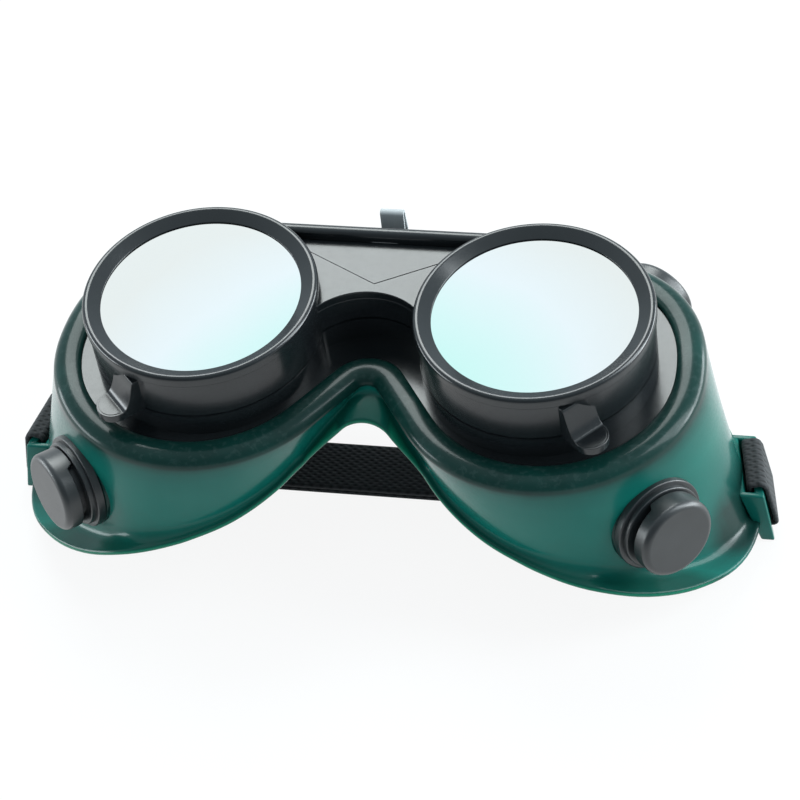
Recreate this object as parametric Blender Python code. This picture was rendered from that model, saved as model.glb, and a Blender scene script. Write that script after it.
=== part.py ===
"""Flip-front welding goggles lying on their back, lenses up.

Sizes are millimetres. The model is laid out with z = 0 on the outer face of the filter glass, +X to the
wearer's left and +Y to the forehead, and is then stood on the feet of its strap lugs.
"""

import math

import bmesh
import bpy
from mathutils import Matrix, Vector

MM = 0.001
CLEARANCE = 0.3
SINK = 0.6

# Lenses and the cups of the flip-up front
LENS_SPACING = 78.2
LENS_RADIUS = 25.0
LENS_LAP = 1.5
FILTER_THICKNESS = 3.0
CLEAR_THICKNESS = 2.0
CUP_WALL = 1.9
RIM_OVERHANG = 0.4
RIM_CREST_INSET = 1.1
RIM_HEIGHT = 1.9
RIM_LIP = 0.5
RIM_BAND = 2.8
RIM_ROUND = 0.7
PARTING_DEPTH = 11.1
RING_HEIGHT = 2.4
RING_WIDTH = 2.2
VIEW_RADIUS = LENS_RADIUS - LENS_LAP
CUP_RADIUS = LENS_RADIUS + CLEARANCE + CUP_WALL
RIM_RADIUS = CUP_RADIUS + RIM_OVERHANG
RIM_CREST_RADIUS = RIM_RADIUS - RIM_CREST_INSET

# Bridge, top bar and finger tabs of the flip-up front
BRIDGE_DEPTH = 2.5
BRIDGE_WALL = 2.0
BRIDGE_ARCH_TOP = 6.4
BRIDGE_ARCH_RADIUS = 15.7
BRIDGE_LAP = 1.1
BAR_BACK = 23.1
BAR_WIDTH = 4.8
BAR_TOP = 2.0
BAR_REACH = 24.0
TAB_ANGLE = -61.5
TAB_LENGTH = 8.1
TAB_WIDTH = 8.0
TAB_TIP_DEPTH = 9.0
TAB_TIP_LENGTH = 2.8
TAB_ROOT_DEPTH = 1.4
TAB_REACH = CUP_RADIUS + TAB_LENGTH

# Hinge, spring clip and the tongue that the clip straddles
HINGE_Y = 28.2
HINGE_DEPTH = 10.0
HINGE_PIN_RADIUS = 1.0
BARREL_RADIUS = 2.1
BARREL_HALF_LENGTH = 6.0
ARM_WIDTH = 2.4
KNUCKLE_RADIUS = 2.4
KNUCKLE_WIDTH = 3.2
PIN_STUB = 0.6
CLIP_WIDTH = 5.7
CLIP_SHEET = 0.6
CLIP_TOP_DEPTH = 2.0
CLIP_BEND_RADIUS = 0.7
CLIP_SHOULDER_DEPTH = 9.0
TONGUE_WIDTH = 4.4
TONGUE_THICKNESS = 1.6
PEG_RADIUS = 0.7
PEG_REACH = 4.8

# Fixed eye frame
PLATE_DEPTH = 17.3
PLATE_THICKNESS = 2.5
PLATE_LAP = 0.5
LEDGE_DEPTH = 16.0
EYE_LEDGE = 2.0
FRAME_BRIDGE_BACK = 24.0

# Lip line of the soft body, seen from the front
LIP_OFFSET = 1.7
EYE_Y = -0.6
LIP_GAP = 5.4
LIP_CORNER = 1.6
NOSE_SLOPE = 54.5
NOSE_RADIUS = 6.6
BROW_RISE = 2.5
LIP_DEPTH = 15.7
LIP_INNER = 3.0
LIP_OUTER = 3.9
LIP_SHOULDER = 2.8
GRIP_BELOW = 1.4
GRIP_REACH = 2.4
WALL = 2.7
FLANGE_THICKNESS = 1.6
FLANGE_RISE = 0.1
EYE_X = LENS_SPACING / 2 + LIP_OFFSET
LIP_RADIUS = CUP_RADIUS + LIP_GAP

# Face edge: place along the lip line, reach past it, drop and flange width. The drop is 0 level with
# the nose edge and 1 on the floor. Places 0 to 1 are the nose arch, 1 to 2 the nose flank, angles in
# degrees run round the eye and 3 to 4 is the brow, ending at its middle.
NOSE_EDGE_DEPTH = 22.0
FACE_EDGE = (
    (0.0, None, 12.2, 0.0, 8.0),
    (1.0, None, 10.8, 0.038, 7.0),
    (2.0, None, 4.7, 0.19, 3.6),
    (None, 230.0, 4.4, 0.261, 3.0),
    (None, 250.0, 5.0, 0.37, 2.8),
    (None, 270.0, 7.0, 0.457, 3.0),
    (None, 290.0, 12.2, 0.536, 5.0),
    (None, 305.0, 14.3, 0.664, 6.5),
    (None, 320.0, 16.4, 0.77, 7.0),
    (None, 335.0, 18.0, 0.844, 5.5),
    (None, 350.0, 17.2, 0.874, 3.0),
    (None, 362.0, 14.8, 0.877, 1.8),
    (None, 378.0, 11.0, 0.867, 1.8),
    (None, 400.0, 9.0, 0.796, 2.4),
    (None, 424.0, 9.6, 0.675, 3.4),
    (3.0, None, 9.6, 0.45, 4.0),
    (4.0, None, 8.5, 0.213, 4.0),
)
LAST_PLACE = 4.0
STATIONS = (4, 3, 26, 7)

# Vents in the side walls
VENT_PLACES = {"lower": (315.4, 36.4), "upper": (424.5, 35.0)}
VENT_SEAT = 1.0
VENT_BOSS_RADIUS = 12.2
VENT_BOSS_DEPTH = 4.6
VENT_RING_RADIUS = 11.5
VENT_RING_HEIGHT = 1.9
VENT_STEP_RADIUS = 10.4
VENT_STEP_HEIGHT = 1.3
VENT_NECK_RADIUS = 7.6
VENT_NECK_HEIGHT = 1.9
VENT_STEM_RADIUS = 7.4
VENT_KEEPER_RADIUS = 9.3
VENT_KEEPER_HEIGHT = 1.2
VENT_BORE = 5.0
CAP_RADIUS = 9.7
CAP_HEIGHT = 4.8
CAP_SKIRT = 1.0
CAP_SKIRT_WALL = 1.7
CAP_ROUND = 0.6
CAP_DISH = 0.5
CAP_DISH_RADIUS = 7.9
CAP_PLUG_LENGTH = 3.6
CAP_NOTCH_WIDTH = 3.2
CAP_NOTCHES = 4

# Strap lugs, strap and slider
FLOOR_DEPTH = 64.2
LUG_HEIGHT = 14.2
LUG_REACH = 15.5
LUG_LEAN = 0.155
LUG_SKEW = 0.2
LUG_ROOT_REACH = 9.6
LUG_ROOT_LEAN = 0.345
LUG_BAR = 2.2
LUG_BAR_LIFT = 0.4
LUG_END_WALL = 1.5
LUG_END_FLARE = 1.5
SLOT_WIDTH = 2.2
STRAP_MIDDLE_Y = 1.5
STRAP_WIDTH = 14.5
STRAP_THICKNESS = 1.1
STRAP_GAP = 0.3
STRAP_LIFT = 1.1
STRAP_WRAP_GAP = 0.35
STRAP_TAIL_END = -62.0
SEWN_END = -66.0
SLIDER_X = -40.0
SLIDER_LENGTH = 15.0
SLIDER_RAIL = 2.0
SLIDER_PLATE = 1.5
SLIDER_LIP = 0.7
SLIDER_LIP_REACH = 2.0
SLIDER_BAR = 3.0
LUG_FRONT_DEPTH = FLOOR_DEPTH - LUG_HEIGHT
LUG_FRONT_X = EYE_X + LIP_RADIUS + LUG_REACH
LUG_ROOT_X = EYE_X + LIP_RADIUS + LUG_ROOT_REACH

# Facets
LARGE_FACET_COUNT = 36
SMALL_FACET_COUNT = 16
BARREL_FACET_COUNT = 24
PIN_FACET_COUNT = 14
BORE_FACET_COUNT = 12
ARC_STEPS = 10
LIP_STEPS = 6
BEND_STEPS = 4

SIDES = {"left": 1, "right": -1}

COLOURS = {
    "soft_green": ((0.02, 0.13, 0.09), 0.35, 0.0),
    "black_plastic": ((0.015, 0.017, 0.018), 0.25, 0.0),
    "filter_glass": ((0.80, 0.90, 0.90), 0.05, 0.6),
    "clear_glass": ((0.85, 0.92, 0.90), 0.04, 0.0),
    "spring_steel": ((0.50, 0.53, 0.53), 0.35, 1.0),
    "elastic": ((0.012, 0.012, 0.013), 0.85, 0.0),
}


# Scene helpers

def clear_scene():
    for old in list(bpy.data.objects):
        bpy.data.objects.remove(old, do_unlink=True)


def make_material(name):
    colour, roughness, metallic = COLOURS[name]
    material = bpy.data.materials.new(name)
    material.use_nodes = True
    shader = material.node_tree.nodes["Principled BSDF"]
    shader.inputs["Base Color"].default_value = (*colour, 1.0)
    shader.inputs["Roughness"].default_value = roughness
    shader.inputs["Metallic"].default_value = metallic
    return material


def place(name, mesh_data, parent, material=None):
    """A new object in the goggles' own layout, under a parent empty."""
    shown = bpy.data.objects.new(name, mesh_data)
    bpy.context.scene.collection.objects.link(shown)
    shown.parent = parent
    if parent.parent:
        shown.location = -parent.location
    if material:
        shown.data.materials.append(material)
    return shown


def solid(name, shape, parent, material=None, smooth_angle=35.0):
    """Turns a bmesh in millimetres into an object in metres."""
    bmesh.ops.remove_doubles(shape, verts=shape.verts, dist=CLEARANCE * MM)
    bmesh.ops.recalc_face_normals(shape, faces=shape.faces)
    bmesh.ops.scale(shape, vec=(MM, MM, MM), verts=shape.verts)
    mesh_data = bpy.data.meshes.new(name)
    shape.to_mesh(mesh_data)
    shape.free()
    mesh_data.shade_smooth()
    mesh_data.set_sharp_from_angle(angle=math.radians(smooth_angle))
    return place(name, mesh_data, parent, material)


def helper(name, shape, parent):
    """A shape that only cuts or joins another one."""
    hidden = solid(name, shape, parent)
    hidden.hide_render = True
    hidden.display_type = "WIRE"
    return hidden


def combine(target, operation, tools):
    """Joins helpers to a piece, or cuts them out of it, all in one step."""
    group = bpy.data.collections.new(f"{target.name}_{operation.lower()}")
    for tool in tools:
        group.objects.link(tool)
    step = target.modifiers.new(group.name, "BOOLEAN")
    step.operation = operation
    step.solver = "EXACT"
    step.operand_type = "COLLECTION"
    step.collection = group


# Shape helpers

def turn(profile, facets, frame=None):
    """Turns a profile of (radius, height) points into a solid. A profile that meets the axis at both
    ends is closed by it, and any other profile is joined end to end."""
    shape = bmesh.new()
    points = [shape.verts.new((radius, 0, height)) for radius, height in profile]
    pairs = list(zip(points, points[1:]))
    if profile[0][0] > 0:
        pairs.append((points[-1], points[0]))
    edges = [shape.edges.new(pair) for pair in pairs]
    bmesh.ops.spin(shape, geom=points + edges, cent=(0, 0, 0), axis=(0, 0, 1), angle=math.tau,
                   steps=facets, use_merge=True)
    if frame:
        shape.transform(frame)
    return shape


def extrude(outline, low, high, frame=None):
    """A closed outline in the XY plane, pulled from one height to another."""
    shape = bmesh.new()
    face = shape.faces.new([shape.verts.new((x, y, low)) for x, y in outline])
    pulled = bmesh.ops.extrude_face_region(shape, geom=[face])
    moved = [item for item in pulled["geom"] if isinstance(item, bmesh.types.BMVert)]
    bmesh.ops.translate(shape, verts=moved, vec=(0, 0, high - low))
    if frame:
        shape.transform(frame)
    return shape


def block(low, high):
    shape = bmesh.new()
    bmesh.ops.create_cube(shape, size=1.0)
    for vert in shape.verts:
        vert.co = [a + (c + 0.5) * (b - a) for a, b, c in zip(low, high, vert.co)]
    return shape


def tapered_block(front, back, front_z, back_z):
    """A block between two rectangles (low x, high x, low y, high y) at two depths."""
    shape = bmesh.new()
    loops = []
    for (x0, x1, y0, y1), z in ((front, front_z), (back, back_z)):
        corners = ((x0, y0), (x1, y0), (x1, y1), (x0, y1))
        loops.append([shape.verts.new((x, y, z)) for x, y in corners])
    for loop in loops:
        shape.faces.new(loop)
    edges = [shape.edges.get((loop[i], loop[i - 1])) for loop in loops for i in range(4)]
    bmesh.ops.bridge_loops(shape, edges=edges)
    return shape


def arc(centre, radius, start, end, steps):
    """Points on a circle, angles in degrees, both ends included."""
    angles = [math.radians(start + (end - start) * i / steps) for i in range(steps + 1)]
    return [(centre[0] + radius * math.cos(a), centre[1] + radius * math.sin(a)) for a in angles]


def circle(centre, radius, facets):
    return arc(centre, radius, 0, 360 - 360 / facets, facets - 1)


def mirrored(shape, side):
    if side < 0:
        bmesh.ops.scale(shape, vec=(-1, 1, 1), verts=shape.verts)
    return shape


# Across the goggles: outlines drawn in (y, z) and pulled along x
ALONG_X = Matrix(((0, 0, 1, 0), (1, 0, 0, 0), (0, 1, 0, 0), (0, 0, 0, 1)))
# Along the strap: outlines drawn in (x, z) and pulled along y
ALONG_Y = Matrix(((1, 0, 0, 0), (0, 0, -1, 0), (0, 1, 0, 0), (0, 0, 0, 1)))


# Lip line and face edge of the soft body

class Station:
    """One place on the lip line: its point, outward normal, the way the face edge lies and a place
    number that runs from 0 at the nose to 4 at the middle of the brow."""

    def __init__(self, place_number, point, normal, flare):
        self.place_number = place_number
        self.point = Vector(point)
        self.normal = Vector(normal).normalized()
        self.flare = Vector(flare).normalized()


def circle_place(degrees):
    first = 270.0 - NOSE_SLOPE
    return 2.0 + (degrees - first) / (450.0 - first)


def station_at(place_number):
    slope = math.radians(NOSE_SLOPE)
    flank = Vector((-math.sin(slope), -math.cos(slope)))
    eye = Vector((EYE_X, EYE_Y))
    arch_y = -(eye.dot(flank) + LIP_RADIUS + NOSE_RADIUS) / math.cos(slope)
    arch_end = Vector((0, arch_y)) - NOSE_RADIUS * flank
    down = (0, -1)
    if place_number <= 1:
        angle = slope * place_number
        inward = Vector((math.sin(angle), math.cos(angle)))
        return Station(place_number, Vector((0, arch_y)) + NOSE_RADIUS * inward, -inward, down)
    if place_number <= 2:
        point = arch_end.lerp(eye + LIP_RADIUS * flank, place_number - 1)
        return Station(place_number, point, flank, down)
    if place_number <= 3:
        first = 270.0 - NOSE_SLOPE
        degrees = first + (450.0 - first) * (place_number - 2)
        angle = math.radians(degrees)
        out = Vector((math.cos(angle), math.sin(angle)))
        corner = LIP_CORNER * math.sin(2 * angle) ** 2 if degrees > 360 else 0.0
        flare = down if degrees < 270 else out
        return Station(place_number, eye + (LIP_RADIUS + corner) * out, out, flare)
    share = place_number - 3
    rise = BROW_RISE * (1 - math.cos(math.pi * share)) / 2
    slope_x = BROW_RISE * math.pi * math.sin(math.pi * share) / (2 * EYE_X)
    return Station(place_number, (EYE_X * (1 - share), EYE_Y + LIP_RADIUS + rise), (slope_x, 1), (0, 1))


def face_edge(place_number):
    """Reach, depth and flange width at a place, on a smooth curve through the face edge's points."""
    keys = []
    for number, degrees, reach, drop, width in FACE_EDGE:
        depth = NOSE_EDGE_DEPTH + drop * (FLOOR_DEPTH - NOSE_EDGE_DEPTH)
        keys.append((circle_place(degrees) if number is None else number, (reach, depth, width)))
    mirror_start = [(-keys[1][0], keys[1][1])]
    mirror_end = [(2 * LAST_PLACE - keys[-2][0], keys[-2][1])]
    keys = mirror_start + keys + mirror_end
    index = 1
    while index < len(keys) - 3 and keys[index + 1][0] < place_number:
        index += 1
    (p0, a), (p1, b), (p2, c), (p3, d) = keys[index - 1:index + 3]
    span = p2 - p1
    t = (place_number - p1) / span
    found = []
    for v0, v1, v2, v3 in zip(a, b, c, d):
        slope1 = (v2 - v0) / (p2 - p0) * span
        slope2 = (v3 - v1) / (p3 - p1) * span
        found.append((2 * t ** 3 - 3 * t ** 2 + 1) * v1 + (t ** 3 - 2 * t ** 2 + t) * slope1
                     + (3 * t ** 2 - 2 * t ** 3) * v2 + (t ** 3 - t ** 2) * slope2)
    return found


def lip_point(station, offset, depth):
    point = station.point + offset * station.normal
    return Vector((point.x, point.y, -depth))


def wall_foot(station):
    """Outer foot of the wall, where it turns out into the face flange."""
    reach, depth, width = face_edge(station.place_number)
    point = station.point + (reach - width) * station.flare
    return Vector((point.x, point.y, -depth + FLANGE_THICKNESS / 2 + FLANGE_RISE * width))


def lip_curve(station, groove_top):
    """Rolled lip, from the groove over the crest to the outer shoulder, as two quarter ellipses."""
    points = []
    for i in range(LIP_STEPS + 1):
        angle = math.pi * (1 - i / LIP_STEPS)
        across = math.cos(angle)
        width, drop = (LIP_OUTER, LIP_SHOULDER) if across > 0 else (LIP_INNER, groove_top - LIP_DEPTH)
        points.append(lip_point(station, width * across, LIP_DEPTH + drop * (1 - math.sin(angle))))
    return points


def body_section(station):
    """Closed section of the soft body at one place: lip, wall, flange, back of the wall and groove."""
    reach, depth, _ = face_edge(station.place_number)
    edge = station.point + reach * station.flare
    edge = Vector((edge.x, edge.y, -depth))
    half = Vector((0, 0, FLANGE_THICKNESS / 2))
    foot = wall_foot(station)
    back_foot = Vector((*(foot.xy - WALL * station.normal), foot.z - FLANGE_THICKNESS))
    groove_top = PLATE_DEPTH - CLEARANCE
    groove_floor = PLATE_DEPTH + PLATE_THICKNESS + CLEARANCE
    grip = groove_floor + GRIP_BELOW
    groove_end = PLATE_LAP + CLEARANCE
    return lip_curve(station, groove_top) + [
        foot,
        edge + half,
        edge - half,
        back_foot,
        lip_point(station, LIP_OUTER - WALL, grip),
        lip_point(station, -GRIP_REACH, grip),
        lip_point(station, -GRIP_REACH, groove_floor),
        lip_point(station, groove_end, groove_floor),
        lip_point(station, groove_end, groove_top),
    ]


def half_places():
    places = []
    for segment, count in enumerate(STATIONS):
        places += [segment + i / count for i in range(count)]
    return places + [LAST_PLACE]


def around(section):
    """A section worked out at every station of the left half, then mirrored round the right half."""
    left = [section(station_at(number)) for number in half_places()]
    flip = [[Vector((-p.x, *p[1:])) for p in ring] for ring in left[-2:0:-1]]
    return left + flip


def loft(rings):
    """Skins a closed run of closed rings."""
    shape = bmesh.new()
    grid = [[shape.verts.new(point) for point in ring] for ring in rings]
    for ring, before in zip(grid, [grid[-1]] + grid[:-1]):
        for i in range(len(ring)):
            shape.faces.new((ring[i - 1], ring[i], before[i], before[i - 1]))
    return shape


# Vents stand square on the wall

def vent_frame(degrees, depth, side):
    station = station_at(circle_place(degrees))
    top = lip_point(station, LIP_OUTER, LIP_DEPTH + LIP_SHOULDER)
    foot = wall_foot(station)
    share = (depth + top.z) / (top.z - foot.z)
    centre = top.lerp(foot, share)
    down = (foot - top).normalized()
    along = Vector((-station.normal.y, station.normal.x, 0))
    out = along.cross(-down).normalized()
    if out.dot(Vector((station.normal.x, station.normal.y, 0))) < 0:
        out = -out
    centre.x *= side
    out.x *= side
    turn_to = out.to_track_quat("Z", "Y").to_matrix().to_4x4()
    return Matrix.Translation(centre) @ turn_to


def vents():
    for row, (degrees, depth) in VENT_PLACES.items():
        for hand, side in SIDES.items():
            yield f"{row}_{hand}", vent_frame(degrees, depth, side)


def make_vent_base(name, frame, parent, material):
    bottom = CLEARANCE - VENT_SEAT
    keeper_top = -VENT_BOSS_DEPTH - CLEARANCE
    step = bottom + VENT_RING_HEIGHT
    neck = step + VENT_STEP_HEIGHT
    top = neck + VENT_NECK_HEIGHT
    profile = [
        (VENT_BORE, top), (VENT_NECK_RADIUS, top), (VENT_NECK_RADIUS, neck),
        (VENT_STEP_RADIUS, neck), (VENT_STEP_RADIUS, step), (VENT_RING_RADIUS, step),
        (VENT_RING_RADIUS, bottom), (VENT_STEM_RADIUS, bottom), (VENT_STEM_RADIUS, keeper_top),
        (VENT_KEEPER_RADIUS, keeper_top), (VENT_KEEPER_RADIUS, keeper_top - VENT_KEEPER_HEIGHT),
        (VENT_BORE, keeper_top - VENT_KEEPER_HEIGHT),
    ]
    solid(f"vent_base_{name}", turn(profile, SMALL_FACET_COUNT, frame), parent, material)


def cap_levels():
    """Heights above the wall of a vent cap's seat on the neck, the foot of its skirt and its face."""
    seat = CLEARANCE - VENT_SEAT + VENT_RING_HEIGHT + VENT_STEP_HEIGHT + VENT_NECK_HEIGHT + CLEARANCE
    return seat, seat - CAP_SKIRT, seat - CAP_SKIRT + CAP_HEIGHT


def make_vent_cap(name, frame, parent, material):
    seat, skirt, face = cap_levels()
    bore = VENT_NECK_RADIUS + CLEARANCE
    plug = VENT_BORE - CLEARANCE
    profile = [
        (0, face - CAP_DISH), (CAP_DISH_RADIUS, face - CAP_DISH), (CAP_DISH_RADIUS + CAP_DISH, face),
        (CAP_RADIUS - CAP_ROUND, face), (CAP_RADIUS, face - CAP_ROUND), (CAP_RADIUS, skirt),
        (bore, skirt), (bore, seat), (plug, seat), (plug, seat - CAP_PLUG_LENGTH),
        (0, seat - CAP_PLUG_LENGTH),
    ]
    cap = solid(f"vent_cap_{name}", turn(profile, SMALL_FACET_COUNT, frame), parent, material)
    reach = CAP_RADIUS + SINK
    cuts = []
    for i in range(CAP_NOTCHES // 2):
        half = CAP_NOTCH_WIDTH / 2
        notch = block((-reach, -half, skirt - SINK), (reach, half, seat - CLEARANCE))
        notch.transform(frame @ Matrix.Rotation(math.pi * i / (CAP_NOTCHES // 2), 4, "Z"))
        cuts.append(helper(f"cut_cap_{name}_{i}", notch, parent))
    combine(cap, "DIFFERENCE", cuts)


# Soft body with its lugs

# Lugs and strap ends stand skew: further out towards the cheek
SKEWED = Matrix(((1, -LUG_SKEW, 0, LUG_SKEW * STRAP_MIDDLE_Y), (0, 1, 0, 0), (0, 0, 1, 0), (0, 0, 0, 1)))


def lug_x(depth):
    """Outer face of the left lug at a depth, at the middle of the strap."""
    return LUG_FRONT_X + LUG_LEAN * (depth - LUG_FRONT_DEPTH)


def bar_foot_depth():
    """Underside of the lug's bar, just over the two strap layers."""
    return FLOOR_DEPTH - STRAP_LIFT - 2 * STRAP_THICKNESS - STRAP_GAP - LUG_BAR_LIFT


def make_lug(hand, side, parent):
    """The lug itself, then the slot and the notch under its bar that are cut out of it."""
    half = STRAP_WIDTH / 2 + 2 * CLEARANCE
    low = STRAP_MIDDLE_Y - half
    high = STRAP_MIDDLE_Y + half
    root_foot = LUG_ROOT_X + LUG_ROOT_LEAN * (FLOOR_DEPTH - LUG_FRONT_DEPTH)
    front = (LUG_ROOT_X, LUG_FRONT_X, low - LUG_END_WALL, high + LUG_END_WALL)
    flare = LUG_END_WALL + LUG_END_FLARE
    back = (root_foot, lug_x(FLOOR_DEPTH), low - flare, high + flare)
    lug = tapered_block(front, back, -LUG_FRONT_DEPTH, -FLOOR_DEPTH)
    top = LUG_FRONT_DEPTH - SINK
    bottom = bar_foot_depth() + SINK
    slot_front = (lug_x(top) - LUG_BAR - SLOT_WIDTH, lug_x(top) - LUG_BAR, low, high)
    slot_back = (lug_x(bottom) - LUG_BAR - SLOT_WIDTH, lug_x(bottom) - LUG_BAR, low, high)
    slot = tapered_block(slot_front, slot_back, -top, -bottom)
    under_low = (LUG_ROOT_X - LUG_BAR, low, -FLOOR_DEPTH - SINK)
    under = block(under_low, (LUG_FRONT_X + LUG_HEIGHT, high, -bar_foot_depth()))
    for shape in (lug, slot, under):
        shape.transform(SKEWED)
    cuts = [helper(f"cut_slot_{hand}", mirrored(slot, side), parent),
            helper(f"cut_under_bar_{hand}", mirrored(under, side), parent)]
    return helper(f"add_lug_{hand}", mirrored(lug, side), parent), cuts


def make_body(parent, material):
    body = solid("goggle_body", loft(around(body_section)), parent, material)
    adds = []
    cuts = []
    for hand, side in SIDES.items():
        lug, lug_cuts = make_lug(hand, side, parent)
        adds.append(lug)
        cuts += lug_cuts
    for name, frame in vents():
        boss = [(0, -VENT_SEAT - CLEARANCE / 2), (VENT_BOSS_RADIUS, -VENT_SEAT - CLEARANCE / 2),
                (VENT_BOSS_RADIUS, -VENT_BOSS_DEPTH), (0, -VENT_BOSS_DEPTH)]
        adds.append(helper(f"add_boss_{name}", turn(boss, SMALL_FACET_COUNT, frame), parent))
        hole = VENT_STEM_RADIUS + CLEARANCE
        seat = VENT_RING_RADIUS + CLEARANCE
        deep = VENT_BOSS_DEPTH + VENT_KEEPER_HEIGHT + WALL
        cut = [(0, VENT_RING_RADIUS), (seat, VENT_RING_RADIUS), (seat, -VENT_SEAT), (hole, -VENT_SEAT),
               (hole, -deep), (0, -deep)]
        cuts.append(helper(f"cut_vent_{name}", turn(cut, SMALL_FACET_COUNT, frame), parent))
    combine(body, "UNION", adds)
    combine(body, "DIFFERENCE", cuts)


# Fixed eye frame

def eye_frame(side):
    return Matrix.Translation((side * LENS_SPACING / 2, 0, 0))


def bridge_outline(back, wall=0.0):
    """Plan of the bridge between the eyes: an arch below, square above, its ends inside the cups."""
    centre = (0, BRIDGE_ARCH_TOP - BRIDGE_ARCH_RADIUS)
    radius = BRIDGE_ARCH_RADIUS + wall
    half = LENS_SPACING / 2 - CUP_RADIUS + BRIDGE_LAP
    spread = math.degrees(math.asin(half / radius))
    arch = arc(centre, radius, 90 + spread, 90 - spread, ARC_STEPS)
    return arch + [(BAR_REACH, back - BAR_WIDTH), (BAR_REACH, back - wall),
                   (-BAR_REACH, back - wall), (-BAR_REACH, back - BAR_WIDTH)]


def plate_edge(station):
    return [lip_point(station, PLATE_LAP, PLATE_DEPTH)]


def make_plate():
    """Flat plate with the lip line's outline."""
    outline = [(ring[0].x, ring[0].y) for ring in around(plate_edge)]
    return extrude(outline, -PLATE_DEPTH - PLATE_THICKNESS, -PLATE_DEPTH)


def knuckle_outline():
    foot = -PLATE_DEPTH - SINK
    ear = arc((HINGE_Y, -HINGE_DEPTH), KNUCKLE_RADIUS, -60, 180, ARC_STEPS)
    return [(BAR_BACK, foot), (HINGE_Y + SINK, foot)] + ear + [(BAR_BACK, -PARTING_DEPTH - 2 * CLEARANCE)]


def tongue_y():
    """Front face of the clip's tongue: behind the barrel, with the clip's leaf between them."""
    return HINGE_Y + BARREL_RADIUS + CLIP_SHEET + 2 * CLEARANCE


def clip_middle():
    """Plane through the middle of the tongue and of the clip folded over it."""
    return tongue_y() + TONGUE_THICKNESS / 2


def tongue_outline():
    foot = -PLATE_DEPTH - SINK
    front = tongue_y()
    back = front + TONGUE_THICKNESS
    elbow = -HINGE_DEPTH - BARREL_RADIUS - SINK
    top = -CLIP_SHOULDER_DEPTH + SINK
    return [(BAR_BACK, foot), (HINGE_Y + 2 * SINK, foot), (back, elbow), (back, top), (front, top),
            (front, elbow + CLEARANCE), (HINGE_Y, elbow - TONGUE_THICKNESS),
            (BAR_BACK, elbow - TONGUE_THICKNESS)]


def make_fixed_frame(parent, material):
    frame = solid("fixed_frame", make_plate(), parent, material)
    rim = -PARTING_DEPTH - CLEARANCE
    sunk = -PLATE_DEPTH - SINK
    bridge = extrude(bridge_outline(FRAME_BRIDGE_BACK), sunk - CLEARANCE, rim - CLEARANCE / 3)
    tongue = extrude(tongue_outline(), -TONGUE_WIDTH / 2, TONGUE_WIDTH / 2, ALONG_X)
    peg_axis = (clip_middle(), -CLIP_SHOULDER_DEPTH - PEG_RADIUS)
    peg = extrude(circle(peg_axis, PEG_RADIUS, BORE_FACET_COUNT), 0, PEG_REACH, ALONG_X)
    adds = [helper("add_frame_bridge", bridge, parent), helper("add_tongue", tongue, parent),
            helper("add_peg", peg, parent)]
    cuts = [helper("cut_knuckles", pin_bore(), parent)]
    inner = BARREL_HALF_LENGTH + CLEARANCE
    bore = LENS_RADIUS + CLEARANCE
    below = -PLATE_DEPTH - 2 * PLATE_THICKNESS
    tube = [(0, rim), (CUP_RADIUS, rim), (CUP_RADIUS, sunk), (0, sunk)]
    ledge = LENS_RADIUS - EYE_LEDGE
    hole = [(0, SINK), (bore, SINK), (bore, -LEDGE_DEPTH), (ledge, -LEDGE_DEPTH), (ledge, below), (0, below)]
    for hand, side in SIDES.items():
        ear = extrude(knuckle_outline(), side * inner, side * (inner + KNUCKLE_WIDTH), ALONG_X)
        adds.append(helper(f"add_tube_{hand}", turn(tube, LARGE_FACET_COUNT, eye_frame(side)), parent))
        adds.append(helper(f"add_knuckle_{hand}", ear, parent))
        cuts.append(helper(f"cut_eye_{hand}", turn(hole, LARGE_FACET_COUNT, eye_frame(side)), parent))
    combine(frame, "UNION", adds)
    combine(frame, "DIFFERENCE", cuts)


def pin_bore():
    reach = BARREL_HALF_LENGTH + 2 * KNUCKLE_WIDTH
    bore = circle((HINGE_Y, -HINGE_DEPTH), HINGE_PIN_RADIUS + CLEARANCE, BORE_FACET_COUNT)
    return extrude(bore, -reach, reach, ALONG_X)


# Flip-up front

def make_bridge(parent):
    """Hollow bridge: a top plate with walls down to the parting line."""
    low = -PARTING_DEPTH
    bridge = helper("add_bridge", extrude(bridge_outline(BAR_BACK), low, -BRIDGE_DEPTH), parent)
    pocket = extrude(bridge_outline(BAR_BACK, BRIDGE_WALL), low - SINK, -BRIDGE_DEPTH - BRIDGE_WALL)
    combine(bridge, "DIFFERENCE", [helper("cut_bridge_pocket", pocket, parent)])
    return bridge


def clip_notch():
    """Room at the back of the bridge for the spring clip, which the bar swings over when it opens."""
    half = CLIP_WIDTH / 2 + CLEARANCE
    bend = Vector((clip_middle() - HINGE_Y, HINGE_DEPTH - CLIP_TOP_DEPTH - CLIP_BEND_RADIUS))
    swing = bend.length + CLIP_BEND_RADIUS + CLIP_SHEET / 2 + 2 * CLEARANCE
    top = math.sqrt(swing ** 2 - (HINGE_Y - BAR_BACK) ** 2) - HINGE_DEPTH
    under_plate = HINGE_DEPTH - BRIDGE_DEPTH - BRIDGE_WALL
    front = HINGE_Y - math.sqrt(swing ** 2 - under_plate ** 2)
    return block((-half, front, -PARTING_DEPTH - SINK), (half, BAR_BACK + SINK, top))


def bar_outline():
    half = BAR_WIDTH / 2
    middle = BAR_BACK - half - CLEARANCE / 3
    foot = -BRIDGE_DEPTH - BRIDGE_WALL / 4
    crown = arc((middle, BAR_TOP - half), half, 0, 180, ARC_STEPS)
    return crown + [(middle - half, foot), (middle + half, foot)]


def arm_outline():
    root = BAR_BACK - BRIDGE_WALL / 2
    tip = arc((HINGE_Y, -HINGE_DEPTH), BARREL_RADIUS - CLEARANCE, -110, 110, ARC_STEPS)
    return [(root, CLEARANCE - PARTING_DEPTH)] + tip + [(root, -BRIDGE_DEPTH - BRIDGE_WALL)]


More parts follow.
